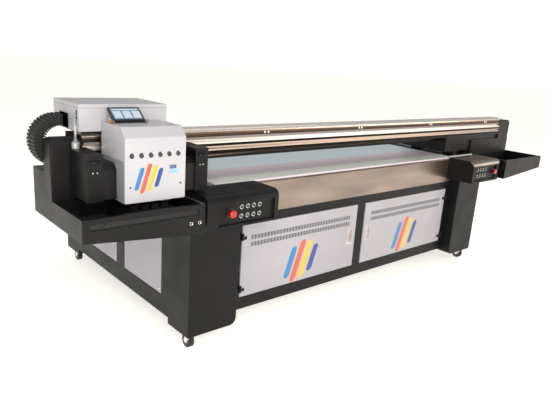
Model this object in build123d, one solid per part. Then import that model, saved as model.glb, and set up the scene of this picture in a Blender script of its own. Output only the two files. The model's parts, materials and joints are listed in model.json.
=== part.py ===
"""Flatbed UV printer: a cabinet on casters with a vacuum table, and a travelling gantry that carries
the print carriage across it.

Lengths are millimetres. The machine is laid out from the base's front left corner: x runs right,
y runs back, z is height above the floor. The last step moves everything so that the frame's origin
is the middle of the footprint at floor level.
"""
import os
from math import cos, radians, sin

from build123d import *

# ---------------------------------------------------------------- driving dimensions
# Base cabinet
base_length = 2760
base_depth = 1650
leg_width = 310            # front legs, seen from the front
leg_depth = 205
rear_leg_width = 205
deck_top = 850             # every height above the legs follows from this
deck_bottom = deck_top - 163
leg_top = deck_bottom + 28
leg_corner = 40            # rounded lower inner corner of each front leg
sheet = 6                  # wall of welded legs and gantry ends
tube_wall = 4              # wall of the frame's tubes
side_beam_bottom = 125
front_beam_top = 199
side_beam_top = 232
side_beam_width = 60
frame_front = 75           # front plane of the door frame
frame_thickness = 50
top_rail_bottom = deck_bottom - 53
panel_sheet = 3
panel_gap = 4
panel_play = 0.3           # beside each fixed panel, in its opening
panel_setback = 1          # behind the face of the frame
bearer_size = (60, 24)     # tubes under the equipment
cross_members = 3          # under the table
rear_post_count = 2
table_side_gap = 6         # between the table and the deck's side beams
console_gap = 2            # between a console's back and the deck behind it
side_end_posts = (77, 166) # front and rear uprights in each side
side_middle_post = 107
side_panel = (base_depth - 2 * leg_depth - sum(side_end_posts) - side_middle_post) / 2
side_posts = (leg_depth + side_end_posts[0], leg_depth + side_end_posts[0] + side_panel,
              base_depth - leg_depth - side_end_posts[1] - side_panel,
              base_depth - leg_depth - side_end_posts[1])

# Doors
door_margin = 381          # from the base's end to the outer edge of a door
centre_post = 84           # between the two doors, with a gap on both sides
door_width = (base_length - centre_post) / 2 - door_margin
door_bottom = front_beam_top + panel_gap
door_top = top_rail_bottom - panel_gap
door_front = 70
door_thickness = 20
door_sheet = 2
hinge_r = 8
hinge_pin_r = 4
hinge_half = 19            # length of each knuckle
hinge_stand_off = 8        # hinge axis in front of the door skin
hinge_side_gap = 3         # hinge axis beyond the door's edge
hinge_leaf = 3
hinge_leaf_reach = (34, 30)          # on the door, on the frame
knuckle_gap = 0.5          # on each side of a hinge's middle
hinge_heights = (door_bottom + 52, door_top - 64)
vent_rows = (door_top - 132, door_top - 91)     # lower edges of the two bands of slots
vent_slot = (10, 26)
vent_pitch = 24
vent_margin = 56
handle_size = (46, 110)    # flush pull
handle_bottom = door_bottom + 161
handle_inset = 28
handle_depth = 16
handle_wall = (3, 2)       # sides and floor of the pull's cup

# Stainless apron under the front edge of the table
apron_front = 74
apron_thickness = 11
apron_top = deck_top + 18
apron_bevel = 8

# Consoles on the two front legs
left_console_width = 441
right_console_width = 385
console_front = -140
console_back = 72
console_top = deck_top + 29
console_wall = 4
console_nose = 38          # radius of the curved front of the hood
recess_depth = 12
left_recess = (64, 26)     # margins at the left and right end of a console
right_recess = (22, 44)
recess_bottom = leg_top + 13
recess_top = leg_top + 123
panel_thickness = 12
button_r = 8
button_count = 4           # in each row
button_pitch = 38
button_rows = (leg_top + 49, leg_top + 96)
button_proud = 6
bezel_r = 11.5
bezel_proud = 3
button_inner = 16          # length behind the panel face
left_buttons_x = 208
left_stop_x = 144
right_buttons_x = base_length - 304
right_stop_x = base_length - 70
stop_z = leg_top + 71
stop_r = 20
stop_head = 14
stop_edge = 8              # rounding of the head
stop_gap = 1               # left under the head when it is pressed
stop_collar_r = 15
collar_proud = 9
stop_stem_r = 8
stop_travel = 5
bore_clearance = 0.3       # round a sliding button or stem

# Equipment inside the cabinet
equipment_depth = 374
equipment_middle = base_depth / 2 + 55
blower_start = door_margin + 310     # middle of the first blower
blower_pitch = 385
blower_foot = (240, 20)
blower_r = 140
casing_start = 60          # behind the front of the foot
casing_depth = 120
motor_r = 84
outlet_r = 26
outlet_drop = 60           # top of the outlet below the deck
electronics_end = 520      # from the base's right end
electronics_width = 600
electronics_height = 420
electronics_inset = 20
electronics_sheet = 2

# Vacuum table and Y guides
table_left = 196
table_right = base_length - 330
table_front = apron_front + apron_thickness + 1
table_rear = base_depth - 350
table_top = deck_top + 28
table_thickness = 26
table_joint_y = table_front + 554
table_seam = 1
rail_width = 20
rail_height = 20
rail_end_gap = 8
y_rail_start = 140
rack_size = (12, 16)
rack_offset = 56           # from the middle of its rail
block_clearance = 0.3      # between a bearing block and its rail
left_rail_x = 92
right_rail_x = base_length - 160

# Gantry
gantry_front = 150         # front of the columns
beam_front = 165
beam_back = 240
beam_bottom = deck_top + 170
beam_top = beam_bottom + 135
beam_wall = 8
end_gap = 37               # between the base's side and the gantry's ends
leg_block_left = (-end_gap, 186)
leg_block_right = (base_length - 320, base_length + end_gap)
leg_block_back = 580
leg_block_bottom = deck_top + 51
gantry_travel = base_depth - 600
left_reach = 610           # the left end's reach beyond the base
right_reach = 645
column_reach = 470         # inner face of the columns, beyond the base
column_top = beam_top - 20
column_round = 26
column_chamfer = 8
left_column_gap = 2        # the chain's bend passes behind the left column
leg_bearing = (60, 90)     # width and length
leg_bearing_inset = (20, 10)         # from the leg's front and back
leg_bearing_lift = 6       # above the deck
end_back = 379
end_top = beam_bottom - 38 # top of the end housings, where the chain trough lies
end_outer_bottom = end_top - 212
end_inner_bottom = end_top - 260

# Trays in front of the end housings
tray_front = -175
tray_top = deck_top + 18
tray_wall = 20
tray_floor = 10
groove = (tray_top - 49, tray_top - 23)         # groove along the front wall: lower and upper edge
groove_depth = 6
groove_inset = 32
port_r = 9                 # sockets in the left tray's front
port_depth = 5
port_height = tray_top - 86
port_places = (72, 27)     # from the tray's inner end wall

# Service station that the heads park over
station_y = (-70, 90)
station_inset = 30         # from the sides of the carriage
station_drop = 24          # below the tray's rim
cap_count = 4
cap_first = 28
cap_pitch = 50
cap_size = (32, 18)        # width and height
cap_end = 16               # from the station's front and back
cap_rim = 5
cap_well = 10

# X guides on the beam's front
x_rail_depth = 15
upper_rail = (beam_bottom + 40, beam_bottom + 70)
lower_rail = (beam_bottom + 1, beam_bottom + 31)
rail_hole_r = 5
rail_hole_depth = 6
rail_hole_pitch = 120
belt_z = (beam_bottom + 83, beam_bottom + 95)
belt_y = (7, 10)           # in front of the beam
belt_clamp = 40
bearing_lip = 3            # how far a bearing reaches past its rail, above and below
top_cover_bottom = beam_bottom + 98
cover_overhang = (10, 5)   # in front of and behind the beam
cover_sheet = 2
beam_round = 20            # upper front edge of the beam
cover_round = 23           # the same edge of its cover

# Energy chain
chain_outer_r = 120
chain_height = 48
chain_y = (246, 340)
chain_bend_x = -525
chain_fixed_x = base_length / 2
trough_y = (242, 350)
trough_sheet = 4
trough_back_top = beam_bottom + 120
trough_web_top = beam_bottom + 30
chain_lift = 2             # lower run above the trough's floor
chain_anchor = (30, 20)    # length of the fixed bracket, and of the one on the carriage
chain_entry = 75           # the upper run's length inside the rear cover

# Carriage
cover_left = -398
cover_width = 290
cover_front = -110
cover_back = 117
cover_bottom = deck_top + 43
cover_top = cover_bottom + 319
cover_slope = (40, 42)     # run and rise of the sloped facet over the front
cover_wall = 3
cover_play = 8             # between the head plate and the cover's sides
back_plate = (120, 134)
bearing_size = 70
bearing_inset = 20
bearing_gap = 2            # between a bearing and the beam
head_plate_front = -70
head_plate_z = (cover_bottom + 32, cover_bottom + 44)
lamp_width = 68
lamp_depth = (-42, 138)
lamp_bottom = cover_bottom + 2
lamp_top = lamp_bottom + 203
lamp_gap_left = 64
lamp_gap_right = 98
lamp_sheet = 4
lamp_tube = (11, 24)       # radius and height above the underside
arm_setback = 8
arm_z = (lamp_bottom + 5, lamp_bottom + 158)
arm_chamfer = 24
head_rows = (-52, 24)
head_first = 32
head_pitch = 60
head_size = (36, 60)
head_lift = 4              # above the cover's lower edge
rear_box_x = (-495, -75)
rear_box_y = (122, 415)
rear_floor_z = (beam_top + 8, beam_top + 13)
rear_floor_inset = 6
rear_box_top = rear_floor_z[1] + 117
chain_mouth = 6            # round the chain where it enters
cover_button_r = 10
cover_button_count = 6
cover_button_y = (-5, 14)  # about the cover's face
cover_bore = 8
cover_button_x = -368
cover_button_pitch = 44.2
cover_button_z = cover_bottom + 203
gauge_window = (cover_bottom + 117, cover_bottom + 155)
gauge_place = 207          # from the cover's left side
gauge_size = (47, 2)       # width and thickness

# Display on the carriage
display_size = (147, 82, 10)
display_x = cover_left + 94
display_foot = (40, cover_top + 6)  # y and z of its lower back edge, where it tilts
display_tilt = 36
display_pin_r = 3
cheek_sheet = 3
cheek_gap = 0.8
cheek_foot = (-20, 44)     # on the cover, about the pin
cheek_back = (50, 22)      # rear corner, behind and above the pin
cheek_front = (-14, 5)

# Casters
wheel_r = 38
wheel_width = 28
wheel_gap = 1.4            # between the wheel and the fork's crown
running_clearance = 0.05   # radial, between a pin and its bore
axle_r = 6
trail = 22
caster_inset = 48
rear_caster_shift = 50
plate_size = 84
plate_height = 4
king_pin_r = 6
king_pin_length = 16
crown_r = 30
crown_height = 8
fork_cheek = 3
fork_head = (-22, 24)      # about the swivel axis
fork_foot = (15, 11)       # about the axle: half width, and drop
fork_side_gap = 2
swivel_gap = 0.6
leg_bottom = 2 * wheel_r + wheel_gap + crown_height + swivel_gap + plate_height

right_end = base_length + right_reach
origin_x = (chain_bend_x - chain_outer_r + right_end) / 2
origin_y = (tray_front + base_depth) / 2

nodes = {}


def add(name, *solids):
    """Put solids into the node called name."""
    nodes.setdefault(name, []).extend(solids)


# ---------------------------------------------------------------- shapes
def block(x, y, z):
    """Box between pairs of coordinates."""
    centre = Pos((x[0] + x[1]) / 2, (y[0] + y[1]) / 2, (z[0] + z[1]) / 2)
    return centre * Box(x[1] - x[0], y[1] - y[0], z[1] - z[0])


def prism_y(outline, y):
    """Polygon of (x, z) points drawn out along y."""
    face = make_face(Polyline(*[(px, y[0], pz) for px, pz in outline], close=True))
    return extrude(face, amount=y[1] - y[0], dir=(0, 1, 0))


def prism_x(outline, x):
    """Polygon of (y, z) points drawn out along x."""
    face = make_face(Polyline(*[(x[0], py, pz) for py, pz in outline], close=True))
    return extrude(face, amount=x[1] - x[0], dir=(1, 0, 0))


def rod_y(x, z, r, y):
    return Pos(x, (y[0] + y[1]) / 2, z) * Rot(90, 0, 0) * Cylinder(r, y[1] - y[0])


def rod_x(y, z, r, x):
    return Pos((x[0] + x[1]) / 2, y, z) * Rot(0, 90, 0) * Cylinder(r, x[1] - x[0])


def rod_z(x, y, r, z):
    return Pos(x, y, (z[0] + z[1]) / 2) * Cylinder(r, z[1] - z[0])


def inner(pair, wall):
    return pair[0] + wall, pair[1] - wall


def mirrored(pair):
    """The same x span measured from the base's other end."""
    return base_length - pair[1], base_length - pair[0]


def tube(x, y, z):
    """Square tube, hollow along its longest side."""
    spans = [x, y, z]
    lengths = [span[1] - span[0] for span in spans]
    longest = lengths.index(max(lengths))
    hollow = [inner(span, -1 if axis == longest else tube_wall) for axis, span in enumerate(spans)]
    return block(x, y, z) - block(*hollow)


def rounded_front(x, y, z, radius):
    """Box whose upper front edge is rounded."""
    box = block(x, y, z)
    return fillet(box.edges().filter_by(Axis.X).sort_by(Axis.Z)[-2:].sort_by(Axis.Y)[0], radius)


def welded_box(x, y, z, wall, open_top=False):
    """Sheet box that is open underneath, or on top."""
    hollow_z = (z[0] + wall, z[1] + wall) if open_top else (z[0] - wall, z[1] - wall)
    return block(x, y, z) - block(inner(x, wall), inner(y, wall), hollow_z)


# ---------------------------------------------------------------- base
def front_leg(x, inner_corner_at_right):
    """Welded leg with one rounded lower corner, open at the bottom behind the caster plate."""
    body = block(x, (0, leg_depth), (leg_bottom, leg_top))
    corner_x = x[1] if inner_corner_at_right else x[0]
    lower = body.edges().filter_by(Axis.Y).sort_by(Axis.Z)[:2]
    corner = lower.sort_by(lambda edge: abs(edge.center().X - corner_x))[0]
    body = fillet(corner, leg_corner)
    hollow_z = (leg_bottom + leg_corner, leg_top - sheet)
    hollow_y = (sheet, leg_depth + sheet)
    return body - block(inner(x, sheet), hollow_y, hollow_z)


def base_frame():
    left = (0, leg_width)
    right = mirrored(left)
    pieces = [front_leg(left, True), front_leg(right, False)]
    rear_y = (base_depth - leg_depth, base_depth)
    for x in ((0, rear_leg_width), mirrored((0, rear_leg_width))):
        pieces.append(welded_box(x, rear_y, (leg_bottom, deck_bottom), sheet, open_top=True))
    # front: door frame with a lower beam, a top rail and three uprights
    frame_y = (frame_front, frame_front + frame_thickness)
    between = (left[1], right[0])
    pieces.append(tube(between, frame_y, (side_beam_bottom, front_beam_top)))
    pieces.append(tube(between, frame_y, (top_rail_bottom, deck_bottom)))
    jamb = (leg_width, door_margin - panel_gap)
    post_start = door_margin + door_width + panel_gap
    for x in (jamb, (post_start, base_length - post_start), mirrored(jamb)):
        pieces.append(tube(x, frame_y, (front_beam_top, top_rail_bottom)))
    # sides and back: lower beams and uprights between the panels
    for x in ((0, side_beam_width), mirrored((0, side_beam_width))):
        side_y = (leg_depth, base_depth - leg_depth)
        pieces.append(tube(x, side_y, (side_beam_bottom, side_beam_top)))
        edges = (leg_depth,) + side_posts + (base_depth - leg_depth,)
        for post in zip(edges[0::2], edges[1::2]):
            pieces.append(tube(x, post, (side_beam_top, deck_bottom)))
    rear_x = (rear_leg_width, base_length - rear_leg_width)
    rear_beam_y = (base_depth - side_beam_width, base_depth)
    pieces.append(tube(rear_x, rear_beam_y, (side_beam_bottom, side_beam_top)))
    for centre in rear_posts():
        x = (centre - side_beam_width, centre + side_beam_width)
        pieces.append(tube(x, rear_beam_y, (side_beam_top, deck_bottom)))
    # deck: two wide side beams on the legs, a front and a rear beam and three cross members
    left_deck = (0, table_left - table_side_gap)
    right_deck = (table_right + table_side_gap, base_length)
    for x, leg in ((left_deck, left), (right_deck, right)):
        pieces.append(tube(x, (leg_depth, base_depth), (deck_bottom, deck_top)))
        riser = (max(x[0], leg[0]), min(x[1], leg[1]))
        pieces.append(tube(riser, (console_back + console_gap, leg_depth), (leg_top, deck_top)))
    span = (left_deck[1], right_deck[0])
    table_under = table_top - table_thickness
    front_y = (apron_front + apron_thickness, leg_depth)
    pieces.append(tube(span, front_y, (leg_top, table_under)))
    pieces.append(tube(between, front_y, (deck_bottom, leg_top)))
    pieces.append(tube(span, rear_beam_y, (deck_bottom, deck_top)))
    pitch = (table_rear - side_beam_width - leg_depth) / cross_members
    for step in range(cross_members):
        y = leg_depth + pitch * (step + 1)
        pieces.append(tube(span, (y, y + side_beam_width), (table_under - side_beam_width, table_under)))
    pieces.append(block(span, (table_rear, rear_beam_y[0]), (deck_top - panel_sheet, deck_top)))
    # bearers for the equipment inside
    equipment_y = equipment_span()
    for y in (equipment_y[0], equipment_y[1] - bearer_size[0]):
        pieces.append(tube((side_beam_width, base_length - side_beam_width), (y, y + bearer_size[0]),
                           (side_beam_bottom, side_beam_bottom + bearer_size[1])))
    for x, y in caster_places():
        plate = Pos(x, y, leg_bottom - plate_height / 2) * Box(plate_size, plate_size, plate_height)
        pin = rod_z(x, y, king_pin_r, (leg_bottom - king_pin_length, leg_bottom - plate_height))
        pieces.append(plate + pin)
    add("base_frame", *pieces)


def rear_posts():
    """x of the uprights that divide the back evenly."""
    pitch = base_length / (rear_post_count + 1)
    return [pitch * (step + 1) for step in range(rear_post_count)]


def cabinet_panels():
    """Fixed sheet panels: two on each side and three across the back."""
    high = (side_beam_top + panel_gap, deck_bottom - panel_gap)
    depth = (panel_setback, panel_setback + panel_sheet)
    for x in (depth, mirrored(depth)):
        for span in (side_posts[:2], side_posts[2:]):
            add("cabinet_panels", block(x, inner(span, panel_play), high))
    posts = [rear_leg_width]
    for centre in rear_posts():
        posts += [centre - side_beam_width, centre + side_beam_width]
    posts.append(base_length - rear_leg_width)
    y = (base_depth - depth[1], base_depth - depth[0])
    for span in zip(posts[0::2], posts[1::2]):
        add("cabinet_panels", block(inner(span, panel_play), y, high))


def knuckle_span(z, upper):
    return (z + knuckle_gap, z + hinge_half) if upper else (z - hinge_half, z - knuckle_gap)


def hinge_axis(hand):
    """x and y of a door's hinge line; hand is 0 for the left door and 1 for the right."""
    x = door_margin - hinge_side_gap
    return (base_length - x if hand else x), door_front - hinge_stand_off


def doors():
    """Folded sheet doors with two bands of vent slots, a flush pull and surface hinges."""
    for hand, name in enumerate(("left_door", "right_door")):
        x = (door_margin, door_margin + door_width)
        handle_x = (x[1] - handle_inset - handle_size[0], x[1] - handle_inset)
        if hand:
            x = mirrored(x)
            handle_x = mirrored(handle_x)
        y = (door_front, door_front + door_thickness)
        z = (door_bottom, door_top)
        skin = block(x, y, z)
        skin -= block(inner(x, door_sheet), (y[0] + door_sheet, y[1] + 1), inner(z, door_sheet))
        slots = []
        count = int((door_width - 2 * vent_margin) / vent_pitch)
        first = x[0] + (door_width - (count - 1) * vent_pitch) / 2
        for row in vent_rows:
            for step in range(count):
                slot_x = first + step * vent_pitch
                slot = (slot_x - vent_slot[0] / 2, slot_x + vent_slot[0] / 2)
                slots.append(block(slot, (y[0] - 1, y[0] + door_sheet + 1), (row, row + vent_slot[1])))
        handle_z = (handle_bottom, handle_bottom + handle_size[1])
        pocket = block(handle_x, (y[0] - 1, y[0] + door_sheet + 1), handle_z)
        skin -= slots + [pocket]
        side, floor = handle_wall
        cup = block(handle_x, (y[0], y[0] + handle_depth), handle_z)
        cup -= block(inner(handle_x, side), (y[0] - 1, y[0] + handle_depth - floor), inner(handle_z, side))
        add(name, skin, cup)
        axis_x, axis_y = hinge_axis(hand)
        toward = -1 if hand else 1
        for height in hinge_heights:
            span = knuckle_span(height, False)
            knuckle = rod_z(axis_x, axis_y, hinge_r, span)
            leaf_x = sorted((axis_x, axis_x + toward * hinge_leaf_reach[0]))
            knuckle += block(leaf_x, (door_front - hinge_leaf, door_front), span)
            knuckle -= rod_z(axis_x, axis_y, hinge_pin_r + running_clearance, span)
            add(name, knuckle)
            fixed = knuckle_span(height, True)
            half = rod_z(axis_x, axis_y, hinge_r, fixed)
            leaf_x = sorted((axis_x - toward * hinge_leaf_reach[1], axis_x))
            half += block(leaf_x, (door_front - hinge_leaf, frame_front), fixed)
            half += rod_z(axis_x, axis_y, hinge_pin_r, (span[0], fixed[1]))
            add("base_frame", half)


def front_apron():
    """Polished stainless panel with a bevelled upper edge, between the two legs."""
    back = apron_front + apron_thickness
    outline = [(apron_front, deck_bottom), (apron_front, apron_top - apron_bevel)]
    outline += [(apron_front + apron_bevel, apron_top), (back, apron_top), (back, deck_bottom)]
    add("front_apron", prism_x(outline, (leg_width, base_length - leg_width)))


def console(name, x, buttons_x, stop_x, margins):
    """Hooded control box on a front leg; its face is recessed and takes a stop and eight buttons."""
    front, back = console_front, console_back
    shell = rounded_front(x, (front, back), (leg_top, console_top), console_nose)
    panel_y = front + recess_depth
    cavity_y = (panel_y + panel_thickness, back + 1)
    shell -= block(inner(x, console_wall), cavity_y, (leg_top + console_wall, console_top - console_wall))
    recess_x = (x[0] + margins[0], x[1] - margins[1])
    shell -= block(recess_x, (front - 1, panel_y), (recess_bottom, recess_top))
    drills = [rod_y(stop_x, stop_z, stop_stem_r + bore_clearance, (front, cavity_y[0] + 1))]
    bezels = []
    for row in button_rows:
        for step in range(button_count):
            bx = buttons_x + step * button_pitch
            bore = rod_y(bx, row, button_r + bore_clearance, (front, cavity_y[0] + 1))
            drills.append(bore)
            bezels.append(rod_y(bx, row, bezel_r, (panel_y - bezel_proud, panel_y)) - bore)
    collar = rod_y(stop_x, stop_z, stop_collar_r, (panel_y - collar_proud, panel_y))
    add(name, shell - drills, *bezels, collar - drills[0])


def console_buttons(side, buttons_x):
    """Eight push buttons, each a plunger through the console's panel."""
    face = console_front + recess_depth
    for row, row_name in zip(button_rows, ("lower", "upper")):
        for step in range(button_count):
            name = f"{side}_{row_name}_button_{step + 1}"
            y = (face - button_proud, face + panel_thickness + button_inner)
            add(name, rod_y(buttons_x + step * button_pitch, row, button_r, y))


def emergency_stop(side, stop_x):
    """Red mushroom head on a stem."""
    face = console_front + recess_depth
    head_back = face - collar_proud - stop_travel - stop_gap
    head = rod_y(stop_x, stop_z, stop_r, (head_back - stop_head, head_back))
    head = fillet(head.edges().sort_by(Axis.Y)[0], stop_edge)
    stem = rod_y(stop_x, stop_z, stop_stem_r, (head_back, face + panel_thickness + button_inner))
    add(f"{side}_emergency_stop", head + stem)


def vacuum_table():
    x = (table_left, table_right)
    z = (table_top - table_thickness, table_top)
    for y in ((table_front, table_joint_y), (table_joint_y + table_seam, table_rear)):
        add("vacuum_table", block(x, y, z))


def y_rails():
    """Two linear rails on the deck's side beams, with a toothed rack beside each."""
    y = (y_rail_start, leg_block_back + gantry_travel + rail_end_gap)
    z = (deck_top, deck_top + rail_height)
    for x, outward in ((left_rail_x, -1), (right_rail_x, 1)):
        add("y_rails", block((x - rail_width / 2, x + rail_width / 2), y, z))
        rack = x + outward * rack_offset
        half = rack_size[0] / 2
        add("y_rails", block((rack - half, rack + half), y, (deck_top, deck_top + rack_size[1])))


def equipment_span():
    """y of the front and back of what stands in the cabinet."""
    return equipment_middle - equipment_depth / 2, equipment_middle + equipment_depth / 2


def cabinet_equipment():
    """Two side-channel blowers for the table's vacuum, and the electronics box, on the bearers."""
    floor = side_beam_bottom + bearer_size[1]
    depth = equipment_span()
    width, height = blower_foot
    axis_z = floor + height + blower_r
    casing_y = (depth[0] + casing_start, depth[0] + casing_start + casing_depth)
    for x in (blower_start, blower_start + blower_pitch):
        foot = block((x - width / 2, x + width / 2), depth, (floor, floor + height))
        casing = rod_y(x, axis_z, blower_r, casing_y)
        motor = rod_y(x, axis_z, motor_r, (casing_y[1], depth[1]))
        outlet = rod_z(x, sum(casing_y) / 2, outlet_r, (axis_z, deck_bottom - outlet_drop)) - casing
        add("cabinet_equipment", foot, casing, motor, outlet)
    end = base_length - electronics_end
    box = welded_box((end - electronics_width, end), inner(depth, electronics_inset),
                     (floor, floor + electronics_height), electronics_sheet)
    add("cabinet_equipment", box)


# ---------------------------------------------------------------- casters
def caster_places():
    """Swivel centres, front left, front right, rear left, rear right."""
    xs = (caster_inset, base_length - caster_inset)
    ys = (caster_inset, base_depth - caster_inset - rear_caster_shift)
    return [(x, y) for y in ys for x in xs]


caster_names = ("front_left", "front_right", "rear_left", "rear_right")


def casters():
    """Swivel forks trailing backwards, each with a wheel on a plain axle."""
    for (x, y), name in zip(caster_places(), caster_names):
        crown_top = leg_bottom - plate_height - swivel_gap
        crown_under = crown_top - crown_height
        crown = rod_z(x, y, crown_r, (crown_under, crown_top))
        crown -= rod_z(x, y, king_pin_r + running_clearance, (0, leg_bottom))
        half = wheel_width / 2 + fork_side_gap
        axle_y = y + trail
        reach, drop = fork_foot
        for side in (-1, 1):
            cheek_x = sorted((x + side * half, x + side * (half + fork_cheek)))
            outline = [(y + fork_head[0], crown_under), (y + fork_head[1], crown_under)]
            outline += [(axle_y + reach, wheel_r), (axle_y + reach / 2, wheel_r - drop)]
            outline += [(axle_y - reach / 2, wheel_r - drop), (axle_y - reach, wheel_r)]
            crown += prism_x(outline, cheek_x)
        add(f"{name}_caster_fork", crown)
        add(f"{name}_caster_fork", rod_x(axle_y, wheel_r, axle_r, (x - half, x + half)))
        tyre = rod_x(axle_y, wheel_r, wheel_r, (x - wheel_width / 2, x + wheel_width / 2))
        tyre -= rod_x(axle_y, wheel_r, axle_r + running_clearance, (x - half, x + half))
        add(f"{name}_caster_wheel", tyre)


# ---------------------------------------------------------------- gantry
def bottom_at(x):
    """Underside of the gantry's ends, which rises towards the outer end."""
    beyond = -x if x < 0 else x - base_length
    reach = left_reach if x < 0 else right_reach
    share = (beyond - end_gap) / (reach - end_gap)
    return end_inner_bottom + share * (end_outer_bottom - end_inner_bottom)


def tapered_wall(x, y, top, lift=0.0, thickness=None):
    """Wall or floor with the ends' sloping underside; a floor has a thickness and no top."""
    low = [bottom_at(px) + lift for px in x]
    high = [top, top] if thickness is None else [z + thickness for z in low]
    return prism_y([(x[0], low[0]), (x[1], low[1]), (x[1], high[1]), (x[0], high[0])], y)


def end_frame(name, outer, leg_x, rail_x):
    """Gantry leg over the Y rail, the housing beyond the base, and the column at its outer end."""
    left = outer < 0
    gap_x = -end_gap if left else base_length + end_gap
    span = sorted((outer, gap_x))
    column_inner = -column_reach if left else base_length + column_reach
    column_x = sorted((outer, column_inner))
    under_beam_x = sorted((column_inner, gap_x))
    housing = tapered_wall(span, (gantry_front, end_back), end_top)
    hollow = tapered_wall(inner(span, sheet), inner((gantry_front, end_back), sheet),
                          end_top - sheet, lift=-sheet)
    add(name, housing - hollow)
    add(name, block(under_beam_x, (beam_front, beam_back), (end_top, beam_bottom)))
    column_back = beam_back - left_column_gap if left else end_back
    column = block(column_x, (gantry_front, column_back), (end_top, column_top))
    top_edges = column.edges().filter_by(Axis.Y).sort_by(Axis.Z)[-2:]
    outer_edge = top_edges.sort_by(lambda edge: abs(edge.center().X - outer))[0]
    column = fillet(outer_edge, column_round)
    front_edge = column.edges().filter_by(Axis.X).sort_by(Axis.Z)[-2:].sort_by(Axis.Y)[0]
    column = chamfer(front_edge, column_chamfer)
    hollow_y = inner((gantry_front, column_back), sheet)
    hollow_z = (end_top - 1, column_top - column_round - sheet)
    add(name, column - block(inner(column_x, sheet), hollow_y, hollow_z))
    for y, top in (((beam_front, beam_back), beam_bottom), ((beam_back, leg_block_back), end_top)):
        add(name, welded_box(leg_x, y, (leg_block_bottom, top), sheet))
        foot = (leg_block_bottom, leg_block_bottom + sheet)
        add(name, block(inner(leg_x, sheet), inner(y, sheet), foot))
    width, length = leg_bearing
    for y in (gantry_front + leg_bearing_inset[0], leg_block_back - leg_bearing_inset[1] - length):
        bearing = block((rail_x - width / 2, rail_x + width / 2), (y, y + length),
                        (deck_top + leg_bearing_lift, leg_block_bottom))
        half = rail_width / 2 + block_clearance
        channel_z = (deck_top, deck_top + rail_height + block_clearance)
        add(name, bearing - block((rail_x - half, rail_x + half), (y - 1, y + length + 1), channel_z))


def tray(name, outer):
    """Open tray in front of a gantry end: four walls on a sloping floor."""
    left = outer < 0
    gap_x = -end_gap if left else base_length + end_gap
    span = sorted((outer, gap_x))
    y = (tray_front, gantry_front)
    front = tapered_wall(span, (y[0], y[0] + tray_wall), tray_top)
    if left:
        front -= block(inner(span, groove_inset), (y[0] - 1, y[0] + groove_depth), groove)
        front -= [rod_y(span[1] - place, port_height, port_r, (y[0] - 1, y[0] + port_depth))
                  for place in port_places]
    add(name, front)
    add(name, tapered_wall(span, (y[1] - tray_wall, y[1]), tray_top))
    side_y = inner(y, tray_wall)
    for x in ((span[0], span[0] + tray_wall), (span[1] - tray_wall, span[1])):
        add(name, tapered_wall(x, side_y, tray_top))
    add(name, tapered_wall(inner(span, tray_wall), side_y, None, thickness=tray_floor))


def maintenance_station():
    """Capping and wiping station that the heads park over, standing on the left tray's floor."""
    x = inner(carriage_x(), station_inset)
    top = tray_top - station_drop
    add("maintenance_station", tapered_wall(x, station_y, top, lift=tray_floor))
    width, height = cap_size
    cap_y = inner(station_y, cap_end)
    for step in range(cap_count):
        cap_x = (x[0] + cap_first + step * cap_pitch, x[0] + cap_first + step * cap_pitch + width)
        cap = block(cap_x, cap_y, (top, top + height))
        well = (top + height - cap_well, top + height + 1)
        add("maintenance_station", cap - block(inner(cap_x, cap_rim), inner(cap_y, cap_rim), well))


def gantry_beam():
    """Box beam between the columns, with the chain trough along its back."""
    x = (-column_reach, base_length + column_reach)
    beam = rounded_front(x, (beam_front, beam_back), (beam_bottom, beam_top), beam_round)
    beam -= block((x[0] - 1, x[1] + 1), inner((beam_front, beam_back), beam_wall),
                  inner((beam_bottom, beam_top), beam_wall))
    add("gantry_beam", beam)
    floor = (end_top, end_top + trough_sheet)
    add("gantry_beam", block(x, trough_y, floor))
    back = (trough_y[1] - trough_sheet, trough_y[1])
    add("gantry_beam", block(x, back, (floor[1], trough_back_top)))
    add("gantry_beam", block(x, (beam_back, trough_y[0]), (end_top, trough_web_top)))
    anchor = (chain_fixed_x, chain_fixed_x + chain_anchor[0])
    chain_z = (floor[1], chain_bend_z() - chain_outer_r + chain_height)
    add("gantry_beam", block(anchor, chain_y, chain_z))
    cover_y = (beam_front - cover_overhang[0], beam_back + cover_overhang[1])
    shell = rounded_front(x, cover_y, (top_cover_bottom, beam_top + cover_sheet), cover_round)
    under_y = (cover_y[0] + cover_sheet, cover_y[1] + 1)
    under = rounded_front((x[0] - 1, x[1] + 1), under_y, (top_cover_bottom - 1, beam_top),
                          cover_round - cover_sheet)
    add("beam_cover", shell - under)


def x_rails():
    """Two linear rails with mounting holes, and the toothed belt between them."""
    x = (-column_reach + rail_end_gap, base_length + column_reach - rail_end_gap)
    y = (beam_front - x_rail_depth, beam_front)
    count = int((x[1] - x[0]) / rail_hole_pitch)
    first = (x[0] + x[1] - (count - 1) * rail_hole_pitch) / 2
    for z in (upper_rail, lower_rail):
        holes = [rod_y(first + step * rail_hole_pitch, (z[0] + z[1]) / 2, rail_hole_r,
                       (y[0] - 1, y[0] + rail_hole_depth)) for step in range(count)]
        add("x_rails", block(x, y, z) - holes)
    for clamp in ((x[0], x[0] + belt_clamp), (x[1] - belt_clamp, x[1])):
        add("x_rails", block(clamp, (beam_front - belt_y[1] - 1, beam_front), belt_z))
    add("x_rails", block(inner(x, belt_clamp), (beam_front - belt_y[1], beam_front - belt_y[0]), belt_z))


def chain_bend_z():
    """Height of the bend's centre, with the lower run just clear of the trough's floor."""
    return end_top + trough_sheet + chain_lift + chain_outer_r


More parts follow.
